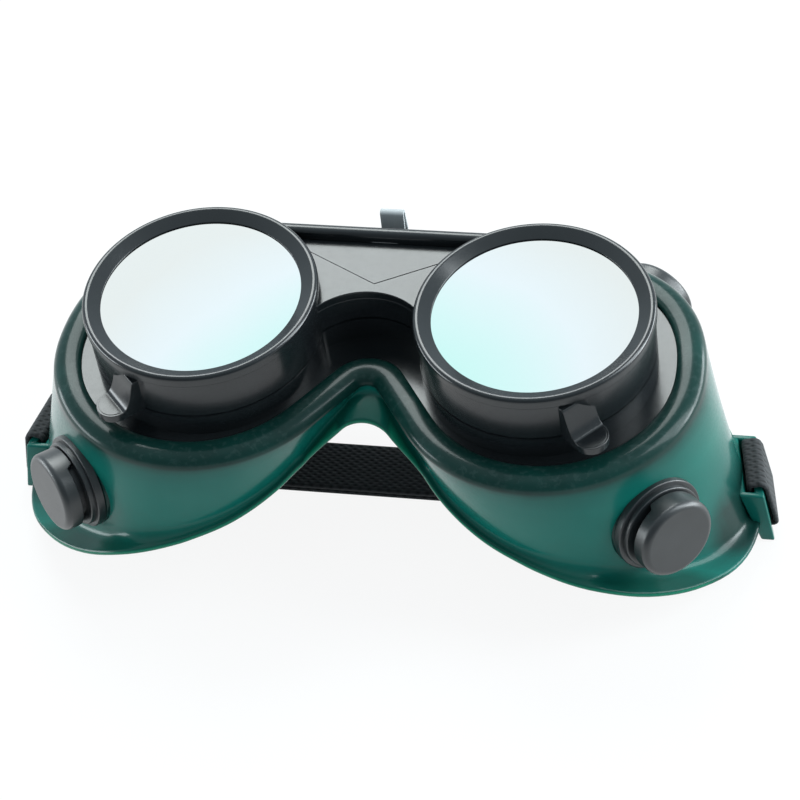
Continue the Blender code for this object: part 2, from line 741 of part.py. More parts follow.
def make_tab(hand, side, parent):
    """Finger tab: a round-ended tongue that slopes out from under the rim to a flat tip."""
    root = LENS_RADIUS + CLEARANCE + SINK
    half = TAB_WIDTH / 2
    end = TAB_REACH - half
    turn_to = eye_frame(side) @ Matrix.Rotation(math.radians(90 - side * (90 - TAB_ANGLE)), 4, "Z")
    plan = [(root, -half)] + arc((end, 0), half, -90, 90, ARC_STEPS) + [(root, half)]
    tab = helper(f"add_tab_{hand}", extrude(plan, -PARTING_DEPTH, -TAB_ROOT_DEPTH, turn_to), parent)
    tip = TAB_REACH - TAB_TIP_LENGTH
    ramp = [(CUP_RADIUS, -TAB_ROOT_DEPTH), (tip, -TAB_TIP_DEPTH), (TAB_REACH + half, -TAB_TIP_DEPTH),
            (TAB_REACH + half, half), (CUP_RADIUS, half)]
    cutter = extrude(ramp, -TAB_WIDTH, TAB_WIDTH, turn_to @ ALONG_Y)
    combine(tab, "DIFFERENCE", [helper(f"cut_tab_{hand}", cutter, parent)])
    return tab


def cup_profile():
    step = RIM_HEIGHT - RIM_BAND
    corner = (RIM_RADIUS - RIM_ROUND, RIM_HEIGHT - RIM_ROUND)
    return [(0, RIM_HEIGHT), (RIM_CREST_RADIUS, RIM_HEIGHT)] + arc(corner, RIM_ROUND, 60, 0, 2) + [
        (RIM_RADIUS, step), (CUP_RADIUS, step - CLEARANCE), (CUP_RADIUS, -PARTING_DEPTH), (0, -PARTING_DEPTH)]


def cup_bore():
    seat = CLEARANCE
    bore = LENS_RADIUS + CLEARANCE
    crest = RIM_CREST_RADIUS
    slope = (crest - VIEW_RADIUS) / (RIM_HEIGHT - seat - RIM_LIP)
    over = crest + slope * SINK
    above = RIM_HEIGHT + SINK
    below = -PARTING_DEPTH - SINK
    return [(0, above), (over, above), (VIEW_RADIUS, seat + RIM_LIP), (VIEW_RADIUS, seat), (bore, seat),
            (bore, below), (0, below)]


def make_flip_front(parent, material):
    front = solid("flip_front", turn(cup_profile(), LARGE_FACET_COUNT, eye_frame(1)), parent, material)
    right_cup = turn(cup_profile(), LARGE_FACET_COUNT, eye_frame(-1))
    bar = extrude(bar_outline(), CLEARANCE - BAR_REACH, BAR_REACH - CLEARANCE, ALONG_X)
    barrel = extrude(circle((HINGE_Y, -HINGE_DEPTH), BARREL_RADIUS, BARREL_FACET_COUNT),
                     -BARREL_HALF_LENGTH, BARREL_HALF_LENGTH, ALONG_X)
    adds = [helper("add_right_cup", right_cup, parent), make_bridge(parent),
            helper("add_top_bar", bar, parent), helper("add_barrel", barrel, parent)]
    cuts = [helper("cut_barrel", pin_bore(), parent), helper("cut_clip_notch", clip_notch(), parent)]
    arm_out = BARREL_HALF_LENGTH - CLEARANCE
    for hand, side in SIDES.items():
        arm = extrude(arm_outline(), side * (arm_out - ARM_WIDTH), side * arm_out, ALONG_X)
        adds.append(helper(f"add_arm_{hand}", arm, parent))
        adds.append(make_tab(hand, side, parent))
        cuts.append(helper(f"cut_cup_{hand}", turn(cup_bore(), LARGE_FACET_COUNT, eye_frame(side)), parent))
    combine(front, "UNION", adds)
    combine(front, "DIFFERENCE", cuts)


# Lenses, rings and hinge pieces

def make_lens(name, side, top, thickness, parent, material):
    profile = [(0, top), (LENS_RADIUS, top), (LENS_RADIUS, top - thickness), (0, top - thickness)]
    solid(name, turn(profile, LARGE_FACET_COUNT, eye_frame(side)), parent, material)


def make_ring(name, side, top, parent, material):
    inner = LENS_RADIUS - RING_WIDTH
    low = top - RING_HEIGHT
    profile = [(inner, top), (LENS_RADIUS, top), (LENS_RADIUS, low), (inner, low)]
    solid(name, turn(profile, LARGE_FACET_COUNT, eye_frame(side)), parent, material)


def make_hinge_pin(parent, material):
    reach = BARREL_HALF_LENGTH + CLEARANCE + KNUCKLE_WIDTH + PIN_STUB
    section = circle((HINGE_Y, -HINGE_DEPTH), HINGE_PIN_RADIUS, PIN_FACET_COUNT)
    solid("hinge_pin", extrude(section, -reach, reach, ALONG_X), parent, material)


def make_spring_clip(parent, material):
    """Folded sheet: two leaves that straddle the tongue, level with the barrel's underside at the
    bottom, and meet in a tight bend at the top."""
    foot = -HINGE_DEPTH - BARREL_RADIUS - CLEARANCE / 3
    middle = clip_middle()
    gap = TONGUE_THICKNESS / 2 + CLEARANCE + CLIP_SHEET / 2
    centre = -CLIP_TOP_DEPTH - CLIP_BEND_RADIUS
    lean = math.degrees(math.atan2(gap - CLIP_BEND_RADIUS, CLIP_SHOULDER_DEPTH + centre))
    bend = arc((middle, centre), CLIP_BEND_RADIUS, 180 - lean, lean, 6)
    path = [(middle - gap, foot), (middle - gap, -CLIP_SHOULDER_DEPTH)] + bend
    path += [(middle + gap, -CLIP_SHOULDER_DEPTH), (middle + gap, foot)]
    shape = ribbon(path, CLIP_SHEET, -CLIP_WIDTH / 2, CLIP_WIDTH / 2)
    shape.transform(ALONG_X)
    solid("spring_clip", shape, parent, material)


def ribbon(path, thickness, low, high, skews=None):
    """A strip of even thickness along a path drawn in a plane, as wide as low to high across it. A skew
    at each point slides one edge of the strip ahead of the other."""
    outer = []
    inner = []
    for i, point in enumerate(path):
        here = Vector(point)
        before = Vector(path[max(i - 1, 0)])
        after = Vector(path[min(i + 1, len(path) - 1)])
        steps = [step.normalized() for step in (here - before, after - here) if step.length > 0]
        way = sum(steps, Vector((0, 0))).normalized()
        side = Vector((-way.y, way.x)) * thickness / 2 / way.dot(steps[0])
        outer.append(here + side)
        inner.append(here - side)
    shape = bmesh.new()
    rings = []
    middle = (low + high) / 2
    for a, b, skew in zip(outer, inner, skews or [0.0] * len(path)):
        corners = ((a, low), (b, low), (b, high), (a, high))
        rings.append([shape.verts.new((p.x + skew * (c - middle), p.y, c)) for p, c in corners])
    for ring, following in zip(rings, rings[1:]):
        for i in range(4):
            shape.faces.new((ring[i - 1], ring[i], following[i], following[i - 1]))
    shape.faces.new(rings[0])
    shape.faces.new(rings[-1])
    return shape


# Strap and slider

def strap_depths():
    """Depths of the middle of the lower and the upper strap layer."""
    lower = FLOOR_DEPTH - STRAP_LIFT - STRAP_THICKNESS / 2
    return lower, lower - STRAP_THICKNESS - STRAP_GAP


def lug_wrap():
    """Strap round the bar of the left lug, from under the bar, up outside it, over its front and down
    through the slot to the upper layer."""
    lower, upper = strap_depths()
    half = STRAP_THICKNESS / 2
    outside = half + STRAP_WRAP_GAP
    top = LUG_FRONT_DEPTH - outside
    bar_foot = bar_foot_depth()
    slot = LUG_BAR + SLOT_WIDTH / 2
    bend = 2 * half
    outer_foot = lug_x(bar_foot) + outside
    inner_foot = lug_x(bar_foot) - slot
    points = arc((outer_foot - bend / 2, bend - lower), bend, -90, 0, BEND_STEPS)
    points += [(lug_x(LUG_FRONT_DEPTH) + outside, -LUG_FRONT_DEPTH)]
    points += arc((lug_x(top) - half, -LUG_FRONT_DEPTH), outside + half, 60, 90, BEND_STEPS // 2)
    points += arc((lug_x(top) - slot + bend, -LUG_FRONT_DEPTH), outside, 90, 150, BEND_STEPS)
    points += [(lug_x(LUG_FRONT_DEPTH + bend) - slot, -LUG_FRONT_DEPTH - bend), (inner_foot, -bar_foot)]
    points += arc((inner_foot - half, half - upper), half, 0, -90, BEND_STEPS)
    return points


def make_strap(parent, material):
    """One length of elastic: sewn back on itself at the right lug, doubled from the left lug."""
    lower, upper = strap_depths()
    wrap = lug_wrap()
    right = [(-x, z) for x, z in reversed(wrap)]
    path = [(SEWN_END, -upper)] + right + [(0, -lower)] + wrap + [(0, -upper), (STRAP_TAIL_END, -upper)]
    turned = [LUG_SKEW] * len(wrap)
    skews = [0.0] + [-skew for skew in turned] + [0.0] + turned + [0.0, 0.0]
    low = STRAP_MIDDLE_Y - STRAP_WIDTH / 2
    shape = ribbon(path, STRAP_THICKNESS, -low - STRAP_WIDTH, -low, skews)
    shape.transform(ALONG_Y)
    solid("strap_band", shape, parent, material)


def make_slider(parent, material):
    """Flat loop round both strap layers: side rails with lips underneath and three bars on top."""
    lower, upper = strap_depths()
    half = STRAP_THICKNESS / 2
    bar_foot = -upper + half + CLEARANCE
    lip_top = -lower - half - CLEARANCE
    inside = STRAP_WIDTH / 2 + CLEARANCE
    outside = inside + SLIDER_RAIL
    x0 = SLIDER_X - SLIDER_LENGTH / 2
    x1 = SLIDER_X + SLIDER_LENGTH / 2
    ring = [(-outside, lip_top - SLIDER_LIP), (SLIDER_LIP_REACH - inside, lip_top - SLIDER_LIP),
            (SLIDER_LIP_REACH - inside, lip_top), (-inside, lip_top), (-inside, bar_foot),
            (inside, bar_foot), (inside, lip_top), (inside - SLIDER_LIP_REACH, lip_top),
            (inside - SLIDER_LIP_REACH, lip_top - SLIDER_LIP), (outside, lip_top - SLIDER_LIP),
            (outside, bar_foot + SLIDER_PLATE), (-outside, bar_foot + SLIDER_PLATE)]
    ring = [(y + STRAP_MIDDLE_Y, z) for y, z in ring]
    slider = solid("strap_slider", extrude(ring, x0, x1, ALONG_X), parent, material)
    window = (SLIDER_LENGTH - 3 * SLIDER_BAR) / 2
    cuts = []
    for i in range(2):
        start = x0 + SLIDER_BAR + i * (window + SLIDER_BAR)
        low = (start, STRAP_MIDDLE_Y - inside, -upper)
        high = (start + window, STRAP_MIDDLE_Y + inside, bar_foot + 2 * SLIDER_PLATE)
        cuts.append(helper(f"cut_window_{i}", block(low, high), parent))
    combine(slider, "DIFFERENCE", cuts)


# Assembly

def make_empty(name, parent, at):
    """A parent for pieces, placed on a point of the goggles' layout."""
    empty = bpy.data.objects.new(name, None)
    bpy.context.scene.collection.objects.link(empty)
    empty.parent = parent
    empty.location = Vector(at) * MM
    return empty


def middle_y():
    """Middle of the goggles from the cheek edge of the body to the brow edge or the upper vent caps."""
    rows = [point.y for ring in around(body_section) for point in ring]
    for _, frame in vents():
        rise = frame.col[2].y
        rows.append(frame.translation.y + cap_levels()[2] * rise + CAP_RADIUS * math.sqrt(1 - rise ** 2))
    return (min(rows) + max(rows)) / 2


def main():
    clear_scene()
    green, black, filter_glass, clear_glass, steel, elastic = [make_material(name) for name in COLOURS]
    goggles = make_empty("goggles", None, (0, -middle_y(), FLOOR_DEPTH))
    flip = make_empty("flip_axis", goggles, (0, HINGE_Y, -HINGE_DEPTH))
    sliding = make_empty("slider_axis", goggles, (SLIDER_X, STRAP_MIDDLE_Y, -FLOOR_DEPTH))
    make_body(goggles, green)
    make_fixed_frame(goggles, black)
    make_flip_front(flip, black)
    clear_top = CLEAR_THICKNESS + CLEARANCE - LEDGE_DEPTH
    for hand, side in SIDES.items():
        make_lens(f"filter_lens_{hand}", side, 0.0, FILTER_THICKNESS, flip, filter_glass)
        make_ring(f"filter_ring_{hand}", side, -FILTER_THICKNESS - CLEARANCE, flip, black)
        make_lens(f"clear_lens_{hand}", side, clear_top, CLEAR_THICKNESS, goggles, clear_glass)
        make_ring(f"clear_ring_{hand}", side, clear_top + CLEARANCE + RING_HEIGHT, goggles, black)
    make_hinge_pin(goggles, steel)
    make_spring_clip(goggles, steel)
    for name, frame in vents():
        make_vent_base(name, frame, goggles, black)
        make_vent_cap(name, frame, goggles, black)
    make_strap(goggles, elastic)
    make_slider(sliding, black)


main()
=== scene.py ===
"""Looks of the flip-front welding goggles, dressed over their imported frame.

Shapes are drawn in millimetres with z = 0 on the outer face of the filter glass, x to the wearer's left
and y to the forehead, and are then moved on to the frame.
"""

import math

import bmesh
import bpy
from mathutils import Matrix, Vector


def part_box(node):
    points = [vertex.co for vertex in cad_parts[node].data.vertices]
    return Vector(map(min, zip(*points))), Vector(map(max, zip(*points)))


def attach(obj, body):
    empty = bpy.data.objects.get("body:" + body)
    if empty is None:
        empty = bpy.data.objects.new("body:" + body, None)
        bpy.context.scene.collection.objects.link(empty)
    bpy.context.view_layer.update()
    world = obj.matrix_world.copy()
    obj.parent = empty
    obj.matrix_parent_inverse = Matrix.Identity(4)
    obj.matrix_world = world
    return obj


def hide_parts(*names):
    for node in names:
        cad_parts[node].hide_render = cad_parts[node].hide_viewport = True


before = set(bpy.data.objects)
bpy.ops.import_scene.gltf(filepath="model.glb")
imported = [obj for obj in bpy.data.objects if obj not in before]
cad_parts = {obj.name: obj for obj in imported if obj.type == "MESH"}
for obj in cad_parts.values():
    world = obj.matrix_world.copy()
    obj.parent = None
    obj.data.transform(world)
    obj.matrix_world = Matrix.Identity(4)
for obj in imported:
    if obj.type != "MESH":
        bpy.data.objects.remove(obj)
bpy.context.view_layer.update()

MM = 0.001
SIDES = {"left": 1, "right": -1}
lens_low, lens_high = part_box("filter_lens_left")
LENS_X = (lens_low.x + lens_high.x) / 2 / MM
LAYOUT = Matrix.Translation((0, (lens_low.y + lens_high.y) / 2, lens_high.z)) @ Matrix.Scale(MM, 4)

# Turns a shape that was drawn in (y, z) and pulled upwards, so that it runs along x
ALONG_X = Matrix(((0, 0, 1, 0), (1, 0, 0, 0), (0, 1, 0, 0), (0, 0, 0, 1)))

# View of the product: azimuth, elevation and roll in degrees, then the point it aims at and its distance
VIEW_ANGLES = (17.7948, 48.2539, -9.7707)
VIEW_AIM = Vector((13.2277, -27.7259, 0))
VIEW_DISTANCE = 598.8
FOCAL_LENGTH = 122.05
SENSOR_WIDTH = 36
NEAR_CLIP = 0.01

# Light, in metres. The room's fade is the y from which its mirror image brightens, the y up to which it
# does, and its brightness at both.
LIGHT_AIM = Vector((0, 0, 0.06))
OVERHEAD_WAY = Vector((-0.2035, 0.634, 0.746))
OVERHEAD_DISTANCE = 1.1
COOL_WHITE = (0.9, 0.97, 1.0)
ROOM_STRENGTH = 0.6
ROOM_FADE = (-0.8, 0.2, 0.3, 1.0)
FLOOR_GLOW = 0.9
FLOOR_GLOSS_SHARE = 0.9
FLOOR_HALF = 3.0
# Heights between which dust begins to lie on the lip, and the point that the filter's tint drifts from
DUST_HEIGHTS = (0.0455, 0.048)
TINT_CENTRE = (0.005, -0.037, 0.064)

# Rims, cups and bridge of the flip-up front
VIEW_RADIUS = 23.5
LENS_RADIUS = 25.0
BORE_RADIUS = 25.3
CUP_RADIUS = 27.2
CUP_STEPS = 160
RIM_RADIUS = 27.6
RIM_HEIGHT = 1.9
RIM_DROP = 2.55
CREST_ROUND = 1.0
STEP_ROUND = 0.25
LENS_SEAT = 0.06
PARTING_DEPTH = 11.1
BRIDGE_DEPTH = 2.5
ARCH_TOP = 6.4
ARCH_RADIUS = 15.7
ARCH_HALF = 13.0
ARCH_WALL_HALF = 12.8
BRIDGE_BACK = 23.1
BRIDGE_WALL = 2.0
BACK_WALL_INNER = 22
BACK_WALL_OUTER = 24
PANEL_RISE = 0.14
PANEL_SINK = 0.3
BAR = (23.6, -1.3)
BAR_RADIUS = 1.7
BAR_END_RADIUS = 26.8
NOTCH_HALF = 3.15
NOTCH_FRONT = 22.35
NOTCH_SLOPE = 2.05
HINGE = (28.2, -10.0)
TAB_ANGLE = -61.5
TAB_ROOT = 26.3
TAB_REACH = 35.3
TAB_HALF = 4.0
TAB_TOP = -1.6
TAB_FLAT = -9.0
TAB_LEAN = math.radians(18)
TAB_CURVE = 1.7
TAB_RAMP_GAP = 0.6
TAB_CUTS = 14
TAB_CUT_STEP = 0.4
TAB_PAD_INSET = 0.5
TAB_PAD_RISE = 0.12
ARM_RADIUS = 1.8
ARM_NEAR = 3.3
ARM_FAR = 5.7
ARM_TOP = -4.5
BARREL_BORE = 1.3
BARREL_RADIUS = 2.1
BARREL_HALF = 6.0
BARREL_CHAMFER = 0.1

# Sleeve round each fixed eye tube, retaining rings and edges of the lenses
SLEEVE = ((27.24, -11.6), (27.24, -17.3), (26.6, -17.3), (26.6, -11.6))
RING_INNER = 22.8
RING_OUTER = 25.0
RING_HEIGHT = 2.4
RING_CHAMFER = 0.2
LENS_CHAMFER = 0.35

# Soft body
EYE = Vector((40.8, -0.6))
LIP_RADIUS = 32.6
LIP_CORNER = 1.6
NOSE_SLOPE = math.radians(54.5)
NOSE_RADIUS = 6.6
EYE_START = 270 - math.degrees(NOSE_SLOPE)
EYE_END = 450
BROW_MIDDLE = 4.0
BROW_RISE = 2.5
LIP_DEPTH = 15.7
LIP_INNER = 3.0
LIP_OUTER = 3.9
LIP_SHOULDER = 2.8
LIP_BACK = 17.0
LIP_STEPS = 16
WALL = 2.7
INNER_DEPTH = 21.5
# Groove that holds the eye frame, as offsets from the lip line and depths
FRAME_GROOVE = ((-1.9, 21.5), (-2.4, 21.1), (-2.4, 20.1), (0.8, 20.1), (0.8, 17.0))
FLANGE_HALF = 0.8
FLANGE_LEAN = 0.1
# Longest bend from wall to flange, and the shares of the wall and of the flange that it may take
BEND_LENGTH = 3.0
BEND_WALL_SHARE = 0.4
BEND_FLANGE_SHARE = 0.7
BEND_END_SHARE = 0.6
BEND_STEPS = 5
EDGE_STEPS = 6
# Painted light on the bend and its rise along the bend, on the flange, and on the flange's back, foot
# and inside: painted glow of light through the thin vinyl and painted shade
BEND_PAINTED_LIGHT = 0.5
BEND_PAINTED_LIGHT_RISE = 0.2
FLANGE_PAINTED_LIGHT = 0.72
BACK_PAINTED_LIGHT = (0.6, 0.3, 0.1)
# Painted light on the wall at shares of its way down from the lip: painted shade below its shoulder, and
# painted glow of light through the vinyl further down
WALL_PAINTED_LIGHT = ((0.05, 0.12), (0.14, 0.22), (0.3, 0.38), (0.6, 0.48), (0.82, 0.5))
# Place along the lip line, reach, depth and flange width of the face edge. Places 0 to 2 run from the
# nose arch to its flank, 3 to 4 along the brow, and the rest are degrees round the eye.
FACE_EDGE = (
    (0, 12.2, 22.0, 8.0), (1, 10.8, 23.6, 7.0), (2, 4.7, 30.0, 3.6), (230, 4.4, 33.0, 3.0),
    (250, 5.0, 37.6, 2.8), (270, 7.0, 41.3, 3.0), (290, 12.2, 44.6, 5.0), (305, 14.3, 50.0, 6.5),
    (320, 16.4, 54.5, 7.0), (335, 18.0, 57.6, 5.5), (350, 17.2, 58.9, 3.0), (362, 14.8, 59.0, 1.8),
    (378, 11.0, 58.6, 1.8), (400, 9.0, 55.6, 2.4), (424, 9.6, 50.5, 3.4), (3, 9.6, 41.0, 4.0),
    (4, 8.5, 31.0, 4.0),
)
STATION_COUNTS = (8, 6, 84, 16)

# Lugs and strap
FLOOR_DEPTH = 64.2
LUG_FRONT = 50.0
LUG_FRONT_X = 88.9
LUG_LEAN = 0.155
LUG_SKEW = 0.2
LUG_ROOT_X = 83.0
LUG_ROOT_LEAN = 0.345
LUG_BAR = 2.2
LUG_BAR_FOOT = 60.2
SLOT_WIDTH = 2.2
LUG_GAP = 0.6
LUG_END = 1.5
LUG_END_FOOT = 3.0
LUG_OVERLAP = 0.9
LUG_ROOT_DEPTH = 2
LUG_EDGE = 0.45
LUG_PAINTED_LIGHT = 0.35
# Middle of the painted shade on the wall beside each lug's root, and the distances over which that
# painted shade fades out
LUG_SHADE_CENTRE = Vector((83.0, -9.0, -54.0))
LUG_SHADE_NEAR = 9.0
LUG_SHADE_FAR = 22.0
STRAP_MIDDLE = 1.5
STRAP_WIDTH = 14.5
STRAP_THICKNESS = 1.1
STRAP_LOWER = 62.55
STRAP_UPPER = 61.15
STRAP_GAP = 0.35
STRAP_SEWN_X = -66.0
STRAP_TAIL_X = -62.0
THREADS_ACROSS = 9.0
THREADS_ALONG = 6.0

# Vents: degrees round the eye and depth of each row, and the part of the skirt that stops short
VENT_ROWS = {"lower": (315.4, 36.4), "upper": (424.5, 35.0)}
VENT_STEPS = 72
SKIRT_RADIUS = 7.8
SKIRT_TOP = 3.0
SKIRT_FACING = 0.4
AIR_GAP = 1.4


# Camera and light

def look(azimuth, elevation, roll):
    """Camera axes for a view from an azimuth and elevation, turned about the line of sight."""
    back = Vector((math.sin(azimuth) * math.cos(elevation), -math.cos(azimuth) * math.cos(elevation),
                   math.sin(elevation)))
    right = (-back).cross(Vector((0, 0, 1))).normalized()
    up = right.cross(-back)
    turned = math.cos(roll) * right + math.sin(roll) * up
    return turned, back.cross(turned), back


def set_camera():
    """Puts a long lens in front of and above the goggles."""
    right, up, back = look(*(math.radians(angle) for angle in VIEW_ANGLES))
    place = LAYOUT @ (VIEW_AIM + back * VIEW_DISTANCE)
    lens = bpy.data.cameras.new("product_view")
    lens.sensor_width = SENSOR_WIDTH
    lens.lens = FOCAL_LENGTH
    lens.clip_start = NEAR_CLIP
    view = bpy.data.objects.new("product_view", lens)
    view.matrix_world = Matrix.Translation(place) @ Matrix((right, up, back)).transposed().to_4x4()
    bpy.context.scene.collection.objects.link(view)
    bpy.context.scene.camera = view


def add_softbox(name, place, size, radiance, tint):
    """A rectangular lamp of even brightness, turned to face the goggles."""
    lamp = bpy.data.lights.new(name, "AREA")
    lamp.shape = "RECTANGLE"
    lamp.size, lamp.size_y = size
    lamp.energy = radiance * math.pi * size[0] * size[1]
    lamp.color = tint
    shown = bpy.data.objects.new(name, lamp)
    shown.location = place
    shown.rotation_euler = (LIGHT_AIM - Vector(place)).to_track_quat("-Z", "Y").to_euler()
    bpy.context.scene.collection.objects.link(shown)


def set_light():
    """Four lamps in a pale room, which is white to the camera and dims towards the front in mirrors."""
    overhead = LIGHT_AIM + OVERHEAD_DISTANCE * OVERHEAD_WAY
    add_softbox("overhead_softbox", overhead, (0.72, 0.56), 9.0, (0.94, 1.0, 0.99))
    add_softbox("left_fill", (-1.1, -0.1, 0.16), (0.8, 0.3), 9.0, COOL_WHITE)
    add_softbox("right_fill", (1.1, 0.2, 0.6), (0.5, 1.3), 8.0, COOL_WHITE)
    add_softbox("right_rake", (0.9, 0.5, 0.16), (0.7, 0.3), 11.0, COOL_WHITE)
    world = bpy.data.worlds.new("white_studio")
    world.use_nodes = True
    studio = Nodes(world.node_tree)
    seen = studio.node("ShaderNodeLightPath", output="Is Camera Ray")
    glossy = studio.node("ShaderNodeLightPath", output="Is Glossy Ray")
    through = studio.node("ShaderNodeLightPath", output="Is Transmission Ray")
    depth = studio.node("ShaderNodeSeparateXYZ", links={
        0: studio.node("ShaderNodeTexCoord", output="Generated")}, output="Y")
    room = studio.map(depth, *ROOM_FADE)
    mirrored_room = (glossy + through) * (room - ROOM_STRENGTH)
    sky = world.node_tree.nodes["Background"]
    studio.feed(sky.inputs["Color"], studio.mix(seen, (0.78, 0.92, 1, 1), (1, 1, 1, 1)))
    studio.feed(sky.inputs["Strength"], seen + (1 - seen) * (ROOM_STRENGTH + mirrored_room))
    bpy.context.scene.world = world
    bpy.context.scene.view_settings.view_transform = "Standard"


# Finishes

class Wire:
    """An output socket that Python's operators work on."""

    def __init__(self, nodes, socket):
        self.nodes = nodes
        self.socket = socket

    def math(self, operation, first, second):
        return self.nodes.node("ShaderNodeMath", {"operation": operation}, {0: first, 1: second})

    def __add__(self, other):
        return self.math("ADD", self, other)

    def __radd__(self, other):
        return self.math("ADD", other, self)

    def __sub__(self, other):
        return self.math("SUBTRACT", self, other)

    def __rsub__(self, other):
        return self.math("SUBTRACT", other, self)

    def __mul__(self, other):
        return self.math("MULTIPLY", self, other)

    def __rmul__(self, other):
        return self.math("MULTIPLY", other, self)


class Nodes:
    """A node tree whose nodes are added by one method."""

    def __init__(self, tree):
        self.tree = tree

    def node(self, kind, settings=None, links=None, output=0):
        made = self.tree.nodes.new(kind)
        for key, value in (settings or {}).items():
            setattr(made, key, value)
        for key, value in (links or {}).items():
            self.feed(made.inputs[key], value)
        return Wire(self, made.outputs[output])

    def feed(self, socket, value):
        if isinstance(value, Wire):
            self.tree.links.new(value.socket, socket)
        else:
            socket.default_value = value

    def map(self, value, low, high, to_low=0.0, to_high=1.0):
        return self.node("ShaderNodeMapRange", {"interpolation_type": "SMOOTHSTEP"}, {
            "Value": value, "From Min": low, "From Max": high, "To Min": to_low, "To Max": to_high})

    def mix(self, share, first, second):
        colours = {0: share, 6: first, 7: second}
        return self.node("ShaderNodeMix", {"data_type": "RGBA"}, colours, output=2)

    def ramp(self, value, stops):
        """A colour that runs through (position, colour) stops."""
        shade = self.node("ShaderNodeValToRGB", links={0: value})
        elements = shade.socket.node.color_ramp.elements
        while len(elements) < len(stops):
            elements.new(0.5)
        for element, (position, colour) in zip(elements, stops):
            element.position = position
            element.color = colour
        return shade


class Finish(Nodes):
    """One material, whose constants go straight on to its shader."""

    def __init__(self, name, **constants):
        self.material = bpy.data.materials.new(name)
        self.material.use_nodes = True
        super().__init__(self.material.node_tree)
        self.shader = self.tree.nodes["Principled BSDF"]
        self.set(**constants)

    def set(self, **values):
        for socket, value in values.items():
            self.feed(self.shader.inputs[socket.replace("_", " ")], value)

    def place(self):
        return self.node("ShaderNodeTexCoord", output="Object")

    def axis(self, name):
        return self.node("ShaderNodeSeparateXYZ", links={0: self.place()}, output=name)

    def noise(self, scale, detail=3.0, roughness=0.55, vector=None):
        return self.node("ShaderNodeTexNoise", links={
            "Vector": vector or self.place(), "Scale": scale, "Detail": detail, "Roughness": roughness})

    def bump(self, height, strength, distance):
        return self.node("ShaderNodeBump", links={"Height": height, "Strength": strength,
                                                  "Distance": distance})


def soft_green():
    """Dark green moulded vinyl: satin, its colour set by painted light from the mesh (painted glow of
    light through thin vinyl, painted shade under the lip and by the lugs), with pale dust along the lip.
    """
    vinyl = Finish("soft_green_vinyl", Specular_IOR_Level=0.08, Coat_Roughness=0.15, Coat_IOR=1.25)
    cloud = vinyl.noise(60, 4)
    speck = vinyl.noise(1400, 2)
    painted_light = vinyl.node("ShaderNodeAttribute", {"attribute_name": "painted_light"}, output="Fac")
    # Painted light sets the green: dark where painted shade lies, bright emerald where painted glow
    # through the vinyl lies, and darker again near 0.75 for painted shade on the flanges
    green = vinyl.ramp(painted_light + 0.16 * cloud - 0.08, (
        (0.0, (0.003, 0.025, 0.021, 1)),
        (0.2, (0.003, 0.085, 0.069, 1)),
        (0.5, (0.003, 0.12, 0.094, 1)),
        (0.75, (0.003, 0.055, 0.04, 1)),
        (1.0, (0.003, 0.14, 0.08, 1)),
    ))
    dust = vinyl.map(vinyl.axis("Z"), *DUST_HEIGHTS) * vinyl.map(vinyl.noise(700, 6), 0.5, 0.66)
    vinyl.set(
        Base_Color=vinyl.mix(0.03 * dust, green, (0.3, 0.4, 0.39, 1)),
        Roughness=0.29 + 0.08 * vinyl.map(speck, 0.35, 0.7) + 0.06 * cloud,
        Coat_Weight=0.7 + 0.3 * vinyl.map(cloud, 0.3, 0.7),
        Normal=vinyl.bump(speck, 0.06, 0.0001),
    )
    return vinyl.material


def black_plastic():
    """Glossy black injection moulding with faint flow marks and handling haze."""
    moulding = Finish("black_moulding", Specular_IOR_Level=0.47, Coat_Roughness=0.08)
    cloud = moulding.noise(90, 4)
    haze = moulding.noise(700, 3)
    moulding.set(
        Base_Color=moulding.mix(cloud, (0.006, 0.0075, 0.0085, 1), (0.011, 0.0135, 0.015, 1)),
        Roughness=0.2 + 0.04 * moulding.map(haze, 0.35, 0.75),
        Coat_Weight=0.1 * cloud,
        Normal=moulding.bump(cloud, 0.04, 0.0002),
    )
    return moulding.material


def satin_plastic():
    """Satin black moulding with a fine spark-eroded grain under a smoother skin."""
    moulding = Finish("satin_black_moulding", Specular_IOR_Level=0.5, Coat_Roughness=0.35)
    cloud = moulding.noise(120, 4)
    grain = moulding.noise(2600, 2)
    moulding.set(
        Base_Color=moulding.mix(cloud, (0.007, 0.009, 0.01, 1), (0.013, 0.016, 0.018, 1)),
        Roughness=0.34 + 0.1 * grain,
        Coat_Weight=0.25 + 0.2 * cloud,
        Normal=moulding.bump(grain, 0.06, 0.00005),
    )
    return moulding.material


def filter_glass():
    """Dark welding glass under a thin mirror film, mint towards the nose and pale grey at the brow."""
    glass = Finish("mirrored_filter_glass", Metallic=1.0)
    away = glass.node("ShaderNodeVectorMath", {"operation": "DISTANCE"}, {
        0: glass.place(), 1: TINT_CENTRE}, output="Value")
    tint = glass.ramp(away * 20.0 - 0.55 + 0.25 * glass.noise(26, 2), (
        (0.0, (0.062, 0.096, 0.092, 1)),
        (0.3, (0.073, 0.095, 0.095, 1)),
        (0.6, (0.087, 0.093, 0.098, 1)),
        (0.95, (0.085, 0.086, 0.086, 1)),
    ))
    smear = glass.noise(140, 4)
    glass.set(Base_Color=tint, Roughness=0.02 + 0.05 * glass.map(smear, 0.45, 0.8))
    return glass.material


def clear_glass():
    """Clear cover glass with a faint green body and light smears."""
    glass = Finish("clear_cover_glass", Transmission_Weight=1.0, IOR=1.5)
    smear = glass.noise(180, 4)
    glass.set(
        Base_Color=glass.mix(smear, (0.86, 0.93, 0.9, 1), (0.92, 0.96, 0.94, 1)),
        Roughness=0.01 + 0.04 * glass.map(smear, 0.5, 0.8),
    )
    return glass.material


